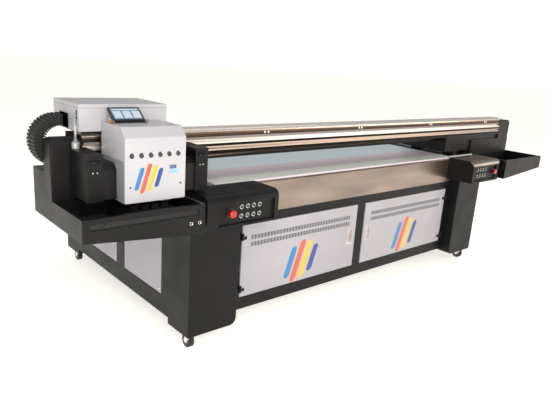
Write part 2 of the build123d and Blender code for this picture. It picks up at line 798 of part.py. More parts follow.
def energy_chain():
    """Lower run in the trough, half-round bend and upper run to the carriage."""
    centre = (chain_bend_x, chain_bend_z())
    low = centre[1] - chain_outer_r
    high = centre[1] + chain_outer_r
    add("chain_lower_run", block((chain_bend_x, chain_fixed_x), chain_y, (low, low + chain_height)))
    ring = rod_y(*centre, chain_outer_r, chain_y) - rod_y(*centre, chain_outer_r - chain_height, chain_y)
    keep = block((chain_bend_x - chain_outer_r - 1, chain_bend_x), chain_y, (low - 1, high + 1))
    add("chain_bend", ring & keep)
    end = rear_box_x[0] + chain_entry
    add("chain_upper_run", block((chain_bend_x, end), chain_y, (high - chain_height, high)))


# ---------------------------------------------------------------- carriage
def carriage_x():
    return cover_left, cover_left + cover_width


def lamp_spans():
    left = (cover_left - lamp_gap_left - lamp_width, cover_left - lamp_gap_left)
    start = cover_left + cover_width + lamp_gap_right
    return left, (start, start + lamp_width)


def carriage_plate():
    """Back plate on four bearing blocks, head plate, chain floor and lamp arms."""
    x = carriage_x()
    add("carriage_plate", block(x, back_plate, (head_plate_z[0], rear_floor_z[0])))
    add("carriage_plate", block(inner(x, cover_play), (head_plate_front, back_plate[0]), head_plate_z))
    floor_y = (back_plate[0], rear_box_y[1] - rear_floor_inset)
    add("carriage_plate", block(inner(rear_box_x, rear_floor_inset), floor_y, rear_floor_z))
    for rail in (upper_rail, lower_rail):
        for start in (x[0] + bearing_inset, x[1] - bearing_inset - bearing_size):
            bearing = block((start, start + bearing_size), (back_plate[1], beam_front - bearing_gap),
                            inner(rail, -bearing_lip))
            channel = block((start - 1, start + bearing_size + 1),
                            (beam_front - x_rail_depth - block_clearance, beam_front),
                            inner(rail, -block_clearance))
            add("carriage_plate", bearing - channel)
    anchor = rear_box_x[0] + chain_entry
    top = chain_bend_z() + chain_outer_r
    add("carriage_plate", block((anchor, anchor + chain_anchor[1]), chain_y, (rear_floor_z[1], top)))
    left, right = lamp_spans()
    for span in ((left[1], x[0]), (x[1], right[0])):
        arm = block(span, (lamp_depth[0] + arm_setback, back_plate[1]), arm_z)
        front_top = arm.edges().filter_by(Axis.X).sort_by(Axis.Z)[-2:].sort_by(Axis.Y)[0]
        add("carriage_plate", chamfer(front_top, arm_chamfer))


def print_heads():
    """Eight heads in two rows through the head plate's underside."""
    width, depth = head_size
    z = (cover_bottom + head_lift, head_plate_z[0])
    for row in head_rows:
        for step in range(4):
            start = cover_left + head_first + step * head_pitch
            add("print_heads", block((start, start + width), (row, row + depth), z))


def front_cover():
    """Folded cover over the front of the carriage, open at the back and underneath."""
    x = carriage_x()
    run, rise = cover_slope
    wall = cover_wall
    outline = [(cover_back, cover_bottom), (cover_back, cover_top), (cover_front + run, cover_top)]
    outline += [(cover_front, cover_top - rise), (cover_front, cover_bottom)]
    hollow = [(cover_back + 1, cover_bottom - 1), (cover_back + 1, cover_top - wall)]
    hollow += [(cover_front + run + 1, cover_top - wall), (cover_front + wall, cover_top - rise - 1)]
    hollow += [(cover_front + wall, cover_bottom - 1)]
    shell = prism_x(outline, x) - prism_x(hollow, inner(x, wall))
    window_x = (cover_left + gauge_place, cover_left + gauge_place + gauge_size[0])
    add("front_cover", block(window_x, (cover_front - gauge_size[1], cover_front), gauge_window))
    button_y = [cover_front + offset for offset in cover_button_y]
    for step in range(cover_button_count):
        bx = cover_button_x + step * cover_button_pitch
        bore_y = (cover_front - 1, cover_front + cover_bore)
        shell -= rod_y(bx, cover_button_z, cover_button_r + bore_clearance, bore_y)
        add(f"cover_button_{step + 1}", rod_y(bx, cover_button_z, cover_button_r, button_y))
    add("front_cover", shell)


def rear_cover():
    """Box cover over the back of the carriage, cut away where the chain runs in."""
    x, y = rear_box_x, rear_box_y
    z = (rear_floor_z[1], rear_box_top)
    shell = welded_box(x, y, z, cover_wall)
    mouth = (rear_floor_z[1] - 1, chain_bend_z() + chain_outer_r + chain_mouth)
    shell -= block((x[0] - 1, x[0] + cover_wall + 1), inner(chain_y, -chain_mouth), mouth)
    add("rear_cover", shell)


def uv_lamps():
    """Lamp housings on both sides of the carriage, with a lamp tube in each open underside."""
    for name, x in zip(("left_uv_lamp", "right_uv_lamp"), lamp_spans()):
        add(name, welded_box(x, lamp_depth, (lamp_bottom, lamp_top), lamp_sheet))
        radius, height = lamp_tube
        add(name, rod_y(sum(x) / 2, lamp_bottom + height, radius, inner(lamp_depth, lamp_sheet)))


def display():
    """Small screen held at an angle by two cheeks on top of the front cover."""
    width, height, thickness = display_size
    foot_y, foot_z = display_foot
    lean = radians(display_tilt)
    up = (cos(lean), sin(lean))
    normal = (-sin(lean), cos(lean))
    corners = [(0, 0), (height, 0), (height, thickness), (0, thickness)]
    outline = [(foot_y + a * up[0] + b * normal[0], foot_z + a * up[1] + b * normal[1])
               for a, b in corners]
    x = (display_x - width / 2, display_x + width / 2)
    reach = cheek_gap + cheek_sheet
    add("display", prism_x(outline, x) + rod_x(*display_foot, display_pin_r, inner(x, -reach)))
    cheek = [(foot_y + cheek_foot[0], cover_top), (foot_y + cheek_foot[1], cover_top)]
    cheek += [(foot_y + cheek_back[0], foot_z + cheek_back[1])]
    cheek += [(foot_y + cheek_front[0], foot_z + cheek_front[1])]
    for side in (-1, 1):
        start = display_x + side * (width / 2 + cheek_gap)
        cheek_x = sorted((start, start + side * cheek_sheet))
        bore = rod_x(*display_foot, display_pin_r + running_clearance, inner(cheek_x, -1))
        add("front_cover", prism_x(cheek, cheek_x) - bore)


def place(solids):
    return Compound([Pos(-origin_x, -origin_y, 0) * solid for solid in solids])


def build():
    base_frame()
    cabinet_panels()
    doors()
    front_apron()
    console("left_console", (0, left_console_width), left_buttons_x, left_stop_x, left_recess)
    right_x = (base_length - right_console_width, base_length)
    console("right_console", right_x, right_buttons_x, right_stop_x, right_recess)
    console_buttons("left", left_buttons_x)
    console_buttons("right", right_buttons_x)
    emergency_stop("left", left_stop_x)
    emergency_stop("right", right_stop_x)
    vacuum_table()
    y_rails()
    cabinet_equipment()
    casters()
    end_frame("left_gantry_end", -left_reach, leg_block_left, left_rail_x)
    end_frame("right_gantry_end", right_end, leg_block_right, right_rail_x)
    tray("left_tray", -left_reach)
    tray("right_tray", right_end)
    maintenance_station()
    gantry_beam()
    x_rails()
    energy_chain()
    carriage_plate()
    print_heads()
    front_cover()
    rear_cover()
    uv_lamps()
    display()


build()
os.makedirs("parts", exist_ok=True)
for node_name, solids in nodes.items():
    flat = [piece for item in solids for piece in item.solids()]
    export_step(place(flat), f"parts/{node_name}.step")
print(len(nodes), "nodes")
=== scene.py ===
"""Looks of a flatbed UV printer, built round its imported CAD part.

Lengths are metres in the part's own frame: x runs right, y runs back, z is height above the floor.
"""
import json
import math

import bmesh
import bpy
from mathutils import Matrix, Quaternion, Vector


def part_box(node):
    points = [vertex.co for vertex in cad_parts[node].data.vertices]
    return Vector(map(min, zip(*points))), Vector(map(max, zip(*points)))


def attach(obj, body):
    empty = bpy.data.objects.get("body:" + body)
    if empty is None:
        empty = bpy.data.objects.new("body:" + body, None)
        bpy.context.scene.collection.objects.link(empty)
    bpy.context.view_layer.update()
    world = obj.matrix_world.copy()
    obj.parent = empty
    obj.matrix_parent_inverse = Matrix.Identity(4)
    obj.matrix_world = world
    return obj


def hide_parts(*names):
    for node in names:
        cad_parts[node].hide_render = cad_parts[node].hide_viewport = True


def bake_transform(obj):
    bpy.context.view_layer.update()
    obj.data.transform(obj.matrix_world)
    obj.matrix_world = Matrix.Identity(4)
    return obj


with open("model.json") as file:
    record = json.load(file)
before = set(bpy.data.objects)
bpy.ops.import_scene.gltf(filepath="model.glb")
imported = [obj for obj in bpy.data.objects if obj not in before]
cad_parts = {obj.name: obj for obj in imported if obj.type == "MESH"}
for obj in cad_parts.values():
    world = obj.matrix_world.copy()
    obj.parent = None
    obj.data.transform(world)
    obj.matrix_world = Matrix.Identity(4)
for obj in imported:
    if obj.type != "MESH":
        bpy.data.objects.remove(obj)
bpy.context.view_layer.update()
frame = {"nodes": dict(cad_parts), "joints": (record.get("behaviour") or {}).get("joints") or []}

MM = 0.001
nodes = frame["nodes"]
box = {name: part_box(name) for name in nodes}


def centre(name):
    low, high = box[name]
    return (low + high) / 2


def joint_named(name):
    return next(joint for joint in frame["joints"] if joint["name"] == name)


# ---------------------------------------------------------------- places read from the frame
PANEL_RECESS = 12 * MM
console_face = box["left_console"][0].y + PANEL_RECESS
DOOR_THICKNESS = 20 * MM
DOOR_SHEET = 2 * MM
DECAL_RISE = 136 * MM
DOOR_DECAL_WIDTH = 275 * MM
COVER_DECAL_WIDTH = 135 * MM
INK_BAR_SHARES = (0.72, 0.95, 0.84, 0.62)
VENT_HEIGHT = 26 * MM
VENT_MARGIN = 56 * MM
door_face = box["left_door"][1].y - DOOR_THICKNESS
GAUGE_BLOCK = 2 * MM
cover_face = box["front_cover"][0].y + GAUGE_BLOCK
cover_left, cover_right = box["front_cover"][0].x, box["front_cover"][1].x
cover_foot = box["front_cover"][0].z
# y where the table's painted reflections change from mauve-grey in front to light blue behind.
FRONT_BAND = box["vacuum_table"][0].y + 314 * MM
EDGE_STRIP = 118 * MM
DECK_TOP = box["y_rails"][0].z
PORT_DEPTH = 5 * MM
PORT_PLACES = (72 * MM, 27 * MM)
PORT_DROP = 86 * MM
GROOVE_DEPTH = 6 * MM
GROOVE_EDGES = (49 * MM, 23 * MM)
TUBE_WALL = 4 * MM
DECK_DEPTH = 163 * MM
FILM = 0.3 * MM
NEAR = 0.1 * MM
beam = box["gantry_beam"]
beam_foot = box["x_rails"][0].z - 1 * MM


# ---------------------------------------------------------------- materials
def colour(code):
    """Linear colour of an sRGB hex code."""
    parts = [int(code[place:place + 2], 16) / 255 for place in (1, 3, 5)]
    linear = [c / 12.92 if c <= 0.04045 else ((c + 0.055) / 1.055) ** 2.4 for c in parts]
    return (*linear, 1.0)


def add_node(tree, kind, settings=(), **sockets):
    """Shader node with its settings and sockets; a socket's value may be another node's output."""
    node = tree.nodes.new(kind)
    for name, value in dict(settings).items():
        setattr(node, name, value)
    for name, value in sockets.items():
        socket = node.inputs[name.replace("_", " ")]
        if isinstance(value, bpy.types.NodeSocket):
            tree.links.new(value, socket)
        else:
            socket.default_value = value
    return node


class Finish:
    """Principled material, and the few textures that its real finish needs."""

    def __init__(self, name, code, metallic=0.0, roughness=0.5, **sockets):
        self.made = bpy.data.materials.new(name)
        self.made.use_nodes = True
        self.tree = self.made.node_tree
        self.surface = self.tree.nodes["Principled BSDF"]
        self.set("Base Color", colour(code))
        self.set("Metallic", metallic)
        self.set("Roughness", roughness)
        for socket, value in sockets.items():
            self.set(socket.replace("_", " "), value)
        self.made.diffuse_color = colour(code)

    def set(self, socket, value):
        if isinstance(value, bpy.types.NodeSocket):
            self.tree.links.new(value, self.surface.inputs[socket])
        else:
            self.surface.inputs[socket].default_value = value

    def noise(self, size, stretch=(1, 1, 1), detail=3.0):
        """Noise whose grains are size metres across, longer by stretch along each axis."""
        place = add_node(self.tree, "ShaderNodeTexCoord").outputs["Object"]
        scale = tuple(1 / (size * s) for s in stretch)
        spread = add_node(self.tree, "ShaderNodeMapping", Vector=place, Scale=scale)
        noise = add_node(self.tree, "ShaderNodeTexNoise", Vector=spread.outputs["Vector"],
                         Scale=1.0, Detail=detail)
        return noise.outputs["Fac"]

    def between(self, share, low, high):
        """A value from low to high as share goes from 0.3 to 0.7, where noise mostly lies."""
        node = add_node(self.tree, "ShaderNodeMapRange", Value=share, From_Min=0.3, From_Max=0.7,
                        To_Min=low, To_Max=high)
        return node.outputs["Result"]

    def mix(self, share, first, second):
        node = add_node(self.tree, "ShaderNodeMix", {"data_type": "RGBA"})
        first, second = (colour(c) if isinstance(c, str) else c for c in (first, second))
        for socket, value in ((0, share), (6, first), (7, second)):
            if isinstance(value, bpy.types.NodeSocket):
                self.tree.links.new(value, node.inputs[socket])
            else:
                node.inputs[socket].default_value = value
        return node.outputs[2]

    def relief(self, height, depth, edge=0.0):
        """Bump of depth metres, over edges that look rounded to a radius of edge metres."""
        bump = add_node(self.tree, "ShaderNodeBump", Height=height, Distance=depth, Strength=1.0)
        if edge:
            rounded = add_node(self.tree, "ShaderNodeBevel", {"samples": 4}, Radius=edge)
            self.tree.links.new(rounded.outputs["Normal"], bump.inputs["Normal"])
        self.set("Normal", bump.outputs["Normal"])
        return self


def powder_coat(name, code, dark, light, roughness, grain=1.6 * MM, edge=1.5 * MM, sheen=0.5):
    """Sprayed powder: fine orange peel, slight colour drift over half a metre, softly rounded edges."""
    finish = Finish(name, code, roughness=roughness, Specular_IOR_Level=sheen)
    drift = finish.between(finish.noise(0.45), 0.0, 1.0)
    finish.set("Base Color", finish.mix(drift, dark, light))
    smudge = finish.noise(0.12, detail=5.0)
    finish.set("Roughness", finish.between(smudge, roughness - 0.06, roughness + 0.08))
    return finish.relief(finish.noise(grain), 0.06 * MM, edge).made


def brushed(name, dark, light, roughness, stretch, grain=0.5 * MM, edge=1.0 * MM, aniso=0.6, cloud=0.3):
    """Brushed metal: hairlines far longer than they are wide, in colour, roughness and relief."""
    finish = Finish(name, light, metallic=1.0, roughness=roughness, Anisotropic=aniso)
    lines = finish.noise(grain, stretch, detail=2.0)
    # Broad colour drift over about cloud metres; on the apron it paints patches of reflected light.
    drift = finish.noise(cloud, (1, 1, 0.2), detail=2.0)
    finish.set("Base Color", finish.mix(finish.between(drift, 0.0, 1.0), dark, light))
    finish.set("Roughness", finish.between(lines, roughness - 0.07, roughness + 0.09))
    return finish.relief(lines, 0.01 * MM, edge).made


def plated(name, code, roughness, metallic=1.0):
    """Bright plated or polished metal, with the faint haze that handling leaves."""
    finish = Finish(name, code, metallic=metallic, roughness=roughness)
    finish.set("Roughness", finish.between(finish.noise(4 * MM), roughness - 0.03, roughness + 0.05))
    return finish.made


BAND_BLUR = 0.7 * MM


def banded(name, bands, roughness):
    """Ground steel whose raceways run along x, coloured in bands of painted reflection and painted shade:
    bands are (lower edge, colour), from the bottom up.
    """
    finish = Finish(name, bands[0][1], metallic=0.85, roughness=roughness)
    tree = finish.tree
    place = add_node(tree, "ShaderNodeTexCoord").outputs["Object"]
    height = add_node(tree, "ShaderNodeSeparateXYZ", Vector=place).outputs["Z"]
    shade = None
    for (edge, code), (_, below) in zip(bands[1:], bands):
        step = add_node(tree, "ShaderNodeMapRange", Value=height, From_Min=edge - BAND_BLUR,
                        From_Max=edge + BAND_BLUR)
        shade = finish.mix(step.outputs["Result"], below if shade is None else shade, code)
    finish.set("Base Color", shade)
    lines = finish.noise(0.3 * MM, (80, 1, 1), detail=2.0)
    finish.set("Roughness", finish.between(lines, roughness - 0.05, roughness + 0.08))
    return finish.relief(lines, 0.01 * MM, 0.8 * MM).made


def moulded(name, code, roughness, grain=0.8 * MM, depth=0.03, **sockets):
    """Moulded plastic or rubber with a fine spark-eroded grain."""
    finish = Finish(name, code, roughness=roughness, **sockets)
    return finish.relief(finish.noise(grain), depth * MM, 0.6 * MM).made


def table_finish(name, front, rear):
    """Matt anodised plate with vacuum holes 2.4 mm wide on a 30 mm grid; its mauve-grey front band and
    light blue rear are painted reflections.
    """
    grid, hole_radius = 30 * MM, 1.2 * MM
    finish = Finish(name, rear, metallic=0.0, roughness=0.33, Specular_IOR_Level=0.5)
    tree = finish.tree
    place = add_node(tree, "ShaderNodeTexCoord").outputs["Object"]
    cell = add_node(tree, "ShaderNodeVectorMath", {"operation": "SCALE"}, Scale=1 / grid)
    tree.links.new(place, cell.inputs[0])
    wrapped = add_node(tree, "ShaderNodeVectorMath", {"operation": "FRACTION"})
    tree.links.new(cell.outputs[0], wrapped.inputs[0])
    middle = add_node(tree, "ShaderNodeVectorMath", {"operation": "SUBTRACT"})
    tree.links.new(wrapped.outputs[0], middle.inputs[0])
    middle.inputs[1].default_value = (0.5, 0.5, 0.0)
    flat = add_node(tree, "ShaderNodeVectorMath", {"operation": "MULTIPLY"})
    tree.links.new(middle.outputs[0], flat.inputs[0])
    flat.inputs[1].default_value = (1.0, 1.0, 0.0)
    reach = add_node(tree, "ShaderNodeVectorMath", {"operation": "LENGTH"})
    tree.links.new(flat.outputs[0], reach.inputs[0])
    hole = add_node(tree, "ShaderNodeMath", {"operation": "GREATER_THAN"})
    tree.links.new(reach.outputs["Value"], hole.inputs[0])
    hole.inputs[1].default_value = hole_radius / grid
    depth = add_node(tree, "ShaderNodeSeparateXYZ", Vector=place).outputs["Y"]
    blur = 4 * MM
    step = add_node(tree, "ShaderNodeMapRange", Value=depth, From_Min=FRONT_BAND - blur,
                    From_Max=FRONT_BAND + blur)
    drift = finish.between(finish.noise(0.4), 0.0, 0.14)
    # Mask of the painted reflections: 0 on the mauve-grey front band, near 1 behind, where noise mixes in a
    # little of the front colour.
    reflection_mask = add_node(tree, "ShaderNodeMath", {"operation": "SUBTRACT", "use_clamp": True})
    tree.links.new(step.outputs["Result"], reflection_mask.inputs[0])
    tree.links.new(drift, reflection_mask.inputs[1])
    plate = finish.mix(reflection_mask.outputs[0], front, rear)
    shade = add_node(tree, "ShaderNodeMix", {"data_type": "RGBA"})
    tree.links.new(hole.outputs[0], shade.inputs[0])
    shade.inputs[6].default_value = colour("#20242a")
    tree.links.new(plate, shade.inputs[7])
    finish.set("Base Color", shade.outputs[2])
    return finish.relief(finish.noise(1.2 * MM), 0.02 * MM, 1.0 * MM).made


black_coat = powder_coat("black_coat", "#101012", "#0d0d0e", "#151517", 0.42, sheen=0.22)
tray_coat = powder_coat("tray_coat", "#0e0e0f", "#0b0b0c", "#131314", 0.36, sheen=0.25)
grey_coat = powder_coat("grey_coat", "#151415", "#111011", "#1b191a", 0.4, sheen=0.28)
door_coat = powder_coat("door_coat", "#a9a7ae", "#a3a1a8", "#b0adb5", 0.42)
cover_coat = powder_coat("cover_coat", "#bdbcc2", "#b7b6bd", "#c4c3c8", 0.36)
blower_coat = powder_coat("blower_coat", "#7f8387", "#777b7f", "#888c90", 0.5, grain=2.5 * MM)
# Brown-grey top of the right console: a painted reflection; the left console's top stays black.
right_hood_painted_reflection = powder_coat("right_hood_painted_reflection", "#5d544e", "#554c47", "#665d57", 0.3)
# Darker bluish sheet on the front cover's lower left side: painted shade.
cover_side_painted_shade = powder_coat("cover_side_painted_shade", "#8f9099", "#888992", "#989aa2", 0.4)
# Apron colours drift from brown-grey to peach over large patches: painted reflections on the steel.
apron_steel = brushed("apron_steel", "#7a7069", "#a8998e", 0.3, (60, 1, 1), cloud=0.7)
beam_steel = brushed("beam_steel", "#75685f", "#8f8178", 0.34, (80, 1, 1))
zinc_plate = brushed("zinc_plate", "#d5d8db", "#f0f2f4", 0.3, (1, 1, 1), grain=3 * MM, aniso=0.0)
machined = brushed("machined", "#8b8d91", "#a9abaf", 0.34, (1, 12, 1), aniso=0.3)
# Bright front nose of the right console: a painted highlight.
right_nose_painted_highlight = brushed("right_nose_painted_highlight", "#8f8a87", "#a9a4a1", 0.34, (60, 1, 1))
pull_steel = brushed("pull_steel", "#c9c4c4", "#e0dcda", 0.3, (1, 1, 40))
brass = brushed("brass", "#b88c62", "#d8ab7e", 0.25, (1, 1, 1), grain=1 * MM, aniso=0.0)
chrome = plated("chrome", "#d8dadc", 0.08)
screw_steel = plated("screw_steel", "#dcdad6", 0.22)
dark_screw = plated("dark_screw", "#5a5b60", 0.3)
bright_screw = plated("bright_screw", "#fffdf8", 0.3, metallic=0.3)
# Table colours are painted reflections, mauve-grey in front and light blue behind; the rear colour is also
# made paler to make up for the beam's shadow.
table_plate = table_finish("table_plate", "#ddd0dc", "#dff2fc")
chain_nylon = moulded("chain_nylon", "#151516", 0.46)
cable_grey = moulded("cable_grey", "#a4a6aa", 0.4)
belt_rubber = moulded("belt_rubber", "#8a7f7c", 0.5)
tyre_rubber = moulded("tyre_rubber", "#1b1b1c", 0.7, grain=1.2 * MM)
hub_plastic = moulded("hub_plastic", "#b0b2b5", 0.45)
cap_plastic = moulded("cap_plastic", "#2c2e33", 0.16, Coat_Weight=0.5)
stop_plastic = moulded("stop_plastic", "#b81822", 0.28, Coat_Weight=0.4)
bezel_plastic = moulded("bezel_plastic", "#101012", 0.2)
edge_film = moulded("edge_film", "#f0f8f0", 0.3, Coat_Weight=0.3)
mesh_grey = moulded("mesh_grey", "#5f5e64", 0.5)
bar_grey = moulded("bar_grey", "#8b8a90", 0.45)
stop_plate_dark = moulded("stop_plate_dark", "#2b2822", 0.45)
print_grey = moulded("print_grey", "#4a4b4e", 0.5)
slat_plastic = moulded("slat_plastic", "#3c3d41", 0.3)
# Dark seams, slot and vents, and painted shade inside the tray's front groove.
dark_seam_and_shade = moulded("dark_seam_and_shade", "#141416", 0.6)
label_blue = moulded("label_blue", "#9ec9e2", 0.4)
label_ink = moulded("label_ink", "#6f93b4", 0.4)
screen_glass = moulded("screen_glass", "#0c1020", 0.06, Coat_Weight=1.0)
screen_blue = moulded("screen_blue", "#56758f", 0.08, Coat_Weight=1.0)
screen_tile = moulded("screen_tile", "#b9cbd9", 0.12, Coat_Weight=1.0)
digit_blue = moulded("digit_blue", "#86a8e8", 0.3, Emission_Color=colour("#86a8e8"),
                     Emission_Strength=0.4)
clear_plastic = moulded("clear_plastic", "#e6ecef", 0.06, IOR=1.46, Transmission_Weight=0.8)
floor_paint = moulded("floor_paint", "#f4f2ec", 0.8, grain=4 * MM, Emission_Color=colour("#fffdf8"),
                      Emission_Strength=0.62)
inks = [moulded(f"ink_{name}", code, 0.28, Coat_Weight=0.6)
        for name, code in (("cyan", "#1d78b8"), ("magenta", "#d4552a"), ("yellow", "#e6b81c"),
                           ("blue", "#1b3f8f"))]


def levels(name, axis, keep=lambda point: True):
    """Sorted distinct coordinates of a node's vertices along one axis."""
    return sorted({round(v.co[axis], 5) for v in nodes[name].data.vertices if keep(v.co)})


side_panel_ends = levels("cabinet_panels", 1, lambda p: p.x < box["cabinet_panels"][0].x + 1 * MM)[:4]
cover_top = levels("front_cover", 2, lambda p: p.x < cover_left + NEAR)[-1]


# ---------------------------------------------------------------- painting the CAD nodes
def paint(name, finish, *regions):
    """Give a CAD node its finish; a region is (finish, test of a face's centre)."""
    mesh = nodes[name].data
    mesh.materials.clear()
    mesh.materials.append(finish)
    for index, (other, inside) in enumerate(regions, start=1):
        mesh.materials.append(other)
        for face in mesh.polygons:
            if inside(face.center):
                face.material_index = index


def within(low, high):
    """Test of a point against a box; None leaves a side open."""
    def test(point):
        return all((a is None or a <= p) and (b is None or p <= b)
                   for p, a, b in zip(point, low, high))
    return test


def near_axis(centres, axis, reach):
    """Test of a point against round regions about an axis through each of the centres."""
    others = [i for i in range(3) if i != axis]

    def test(point):
        return any(math.hypot(*(point[i] - c[i] for i in others)) < reach for c in centres)
    return test


PULL_INSET, PULL_WIDTH = 28 * MM, 46 * MM
PULL_HEIGHT = 110 * MM
PULL_RISE = 161 * MM


def pull_region(side):
    """The box of a door's flush pull."""
    low, high = box[f"{side}_door"]
    if side == "left":
        right = high.x - PULL_INSET
        span = (right - PULL_WIDTH, right)
    else:
        left = low.x + PULL_INSET
        span = (left, left + PULL_WIDTH)
    foot = low.z + PULL_RISE
    edge = 0.5 * MM
    return within((span[0] - edge, None, foot - edge), (span[1] + edge, None, foot + PULL_HEIGHT + edge))


def console_centres(side, kind):
    return [centre(name) for name in nodes if name.startswith(side) and kind in name]


def paint_base():
    paint("base_frame", black_coat)
    paint("cabinet_panels", door_coat)
    paint("front_apron", apron_steel)
    paint("vacuum_table", table_plate)
    paint("y_rails", machined)
    paint("cabinet_equipment", blower_coat)
    for side in ("left", "right"):
        hinge_zone = within((None, None, None), (None, door_face - 0.5 * MM, None))
        paint(f"{side}_door", door_coat, (black_coat, hinge_zone), (pull_steel, pull_region(side)))
        zones = [(chrome, near_axis(console_centres(side, "_button_"), 1, 12 * MM))]
        # Right console only: its top is painted brown-grey as a painted reflection, and its front nose
        # bright as a painted highlight.
        if side == "right":
            low, high = box["right_console"]
            zones.append((right_hood_painted_reflection, within((None, None, high.z - 30 * MM), (None, None, None))))
            zones.append((right_nose_painted_highlight, within((None, None, high.z - 37 * MM), (None, low.y + 22 * MM, None))))
        paint(f"{side}_console", black_coat, *zones)
        paint(f"{side}_emergency_stop", stop_plastic)
    for name in nodes:
        if "_button_" in name:
            paint(name, cap_plastic)
        if name.endswith("_caster_fork"):
            paint(name, zinc_plate)
        if name.endswith("_caster_wheel"):
            paint(name, tyre_rubber, (hub_plastic, near_axis([centre(name)], 0, 21 * MM)))


def paint_gantry():
    for side in ("left", "right"):
        paint(f"{side}_gantry_end", grey_coat)
        front = box[f"{side}_tray"][0].y
        # Faces inside the tray's front groove are painted dark: painted shade in the recess.
        groove = within((None, front + 0.5 * MM, None), (None, front + GROOVE_DEPTH + 0.5 * MM, None))
        paint(f"{side}_tray", tray_coat, (dark_seam_and_shade, groove))
        paint(f"{side}_uv_lamp", tray_coat)
    paint("maintenance_station", grey_coat)
    hood = box["beam_cover"]
    # The hood, beam face and rails get bands of painted light: bright bands are painted highlights and
    # reflections, brown and near-black bands are painted reflections of darker surroundings and painted
    # shade.
    hood_painted_light = banded("hood_painted_reflection_bands", [(hood[0].z, "#4d3f36"), (hood[0].z + 14 * MM, "#8d735f"),
                                            (hood[0].z + 22 * MM, "#efe6df")], 0.24)
    face_painted_light = banded("beam_face_painted_reflection_bands", [(beam[0].z, "#1d1816"), (beam_foot + 31 * MM, "#cbb9ac"),
                                       (beam_foot + 69 * MM, "#f1ebe6"),
                                       (beam_foot + 80 * MM, "#5a4d49")], 0.3)
    rail_painted_light = banded("rail_painted_reflection_bands", [(beam_foot, "#3b322d"), (beam_foot + 6 * MM, "#120f0d"),
                                           (beam_foot + 23 * MM, "#cdbbae"),
                                           (beam_foot + 46 * MM, "#1c1613"),
                                           (beam_foot + 60 * MM, "#f4eee9")], 0.24)
    face_zone = within((None, None, None), (None, hood[0].y + 11 * MM, None))
    trough_zone = within((None, None, None), (None, None, beam_foot + 0.5 * MM))
    paint("gantry_beam", beam_steel, (face_painted_light, face_zone), (black_coat, trough_zone))
    paint("beam_cover", hood_painted_light)
    belt_zone = within((None, None, box["x_rails"][1].z - 13 * MM), (None, None, None))
    paint("x_rails", rail_painted_light, (belt_rubber, belt_zone))
    paint("carriage_plate", grey_coat)
    paint("print_heads", machined)
    cheek_zone = within((None, None, cover_top + 0.5 * MM), (None, None, None))
    paint("front_cover", cover_coat, (pull_steel, cheek_zone))
    paint("rear_cover", cover_coat)
    paint("display", bezel_plastic)


# ---------------------------------------------------------------- making pieces
def piece(name, mesh, finish, body, bevel=0.0, smooth=True):
    """Turn a bmesh into an object that rides on a CAD body."""
    data = bpy.data.meshes.new(name)
    bmesh.ops.recalc_face_normals(mesh, faces=mesh.faces)
    mesh.to_mesh(data)
    mesh.free()
    data.materials.append(finish)
    made = bpy.data.objects.new(name, data)
    bpy.context.scene.collection.objects.link(made)
    if bevel:
        rounding = made.modifiers.new("rounding", "BEVEL")
        rounding.width = bevel
        rounding.segments = 3
        rounding.limit_method = "ANGLE"
    if smooth:
        data.shade_smooth()
        data.set_sharp_from_angle(angle=math.radians(35))
    if body:
        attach(made, body)
    return made


def add_slab(mesh, low, high):
    """Box between two corners."""
    low, high = Vector(low), Vector(high)
    place = Matrix.Translation((low + high) / 2) @ Matrix.Diagonal((*(high - low), 1))
    bmesh.ops.create_cube(mesh, size=1, matrix=place)


def slabs(name, boxes, finish, body, bevel=0.0, smooth=True):
    """One piece made of boxes, each given by two corners."""
    mesh = bmesh.new()
    for low, high in boxes:
        add_slab(mesh, low, high)
    piece(name, mesh, finish, body, bevel=bevel, smooth=smooth)


def join_rings(mesh, first, second):
    """Faces between two closed rings with the same number of points."""
    for step in range(len(first)):
        after = (step + 1) % len(first)
        mesh.faces.new((first[step], first[after], second[after], second[step]))


def millimetres(*profile):
    """A profile that is written in millimetres, in metres."""
    return [(along * MM, radius * MM) for along, radius in profile]


AXIS_TURN = {0: Matrix.Rotation(math.pi / 2, 4, "Y"), 1: Matrix.Rotation(math.pi / 2, 4, "X"),
             2: Matrix.Identity(4)}


def add_profile(mesh, profile, middle, axis, segments=40):
    """Solid of revolution about an axis through middle: profile is (distance along, radius) points."""
    rings = []
    turn = AXIS_TURN[axis]
    for along, radius in profile:
        points = []
        for step in range(segments):
            angle = step * math.tau / segments
            local = turn @ Vector((radius * math.cos(angle), radius * math.sin(angle), along))
            points.append(mesh.verts.new(Vector(middle) + local))
        rings.append(points)
    for first, second in zip(rings, rings[1:]):
        join_rings(mesh, first, second)


def add_tube(mesh, path, radius, segments=16):
    """Round tube along a smooth path of points."""
    rings = []
    for index, point in enumerate(path):
        ahead = path[min(index + 1, len(path) - 1)] - path[max(index - 1, 0)]
        across = ahead.cross(Vector((0, 1, 0.3))).normalized()
        over = ahead.cross(across).normalized()
        rings.append([mesh.verts.new(point + radius * (math.cos(a) * across + math.sin(a) * over))
                      for a in (step * math.tau / segments for step in range(segments))])
    for first, second in zip(rings, rings[1:]):
        join_rings(mesh, first, second)
    for end in (rings[0], rings[-1]):
        mesh.faces.new(end)


def smooth_path(points, steps=40):
    """Points along a smooth curve that starts and ends at the ends of a given route."""
    def blend(pair, share):
        return pair[0].lerp(pair[1], share)
    path = []
    for step in range(steps + 1):
        level = [Vector(p) for p in points]
        while len(level) > 1:
            level = [blend(pair, step / steps) for pair in zip(level, level[1:])]
        path.append(level[0])
    return path


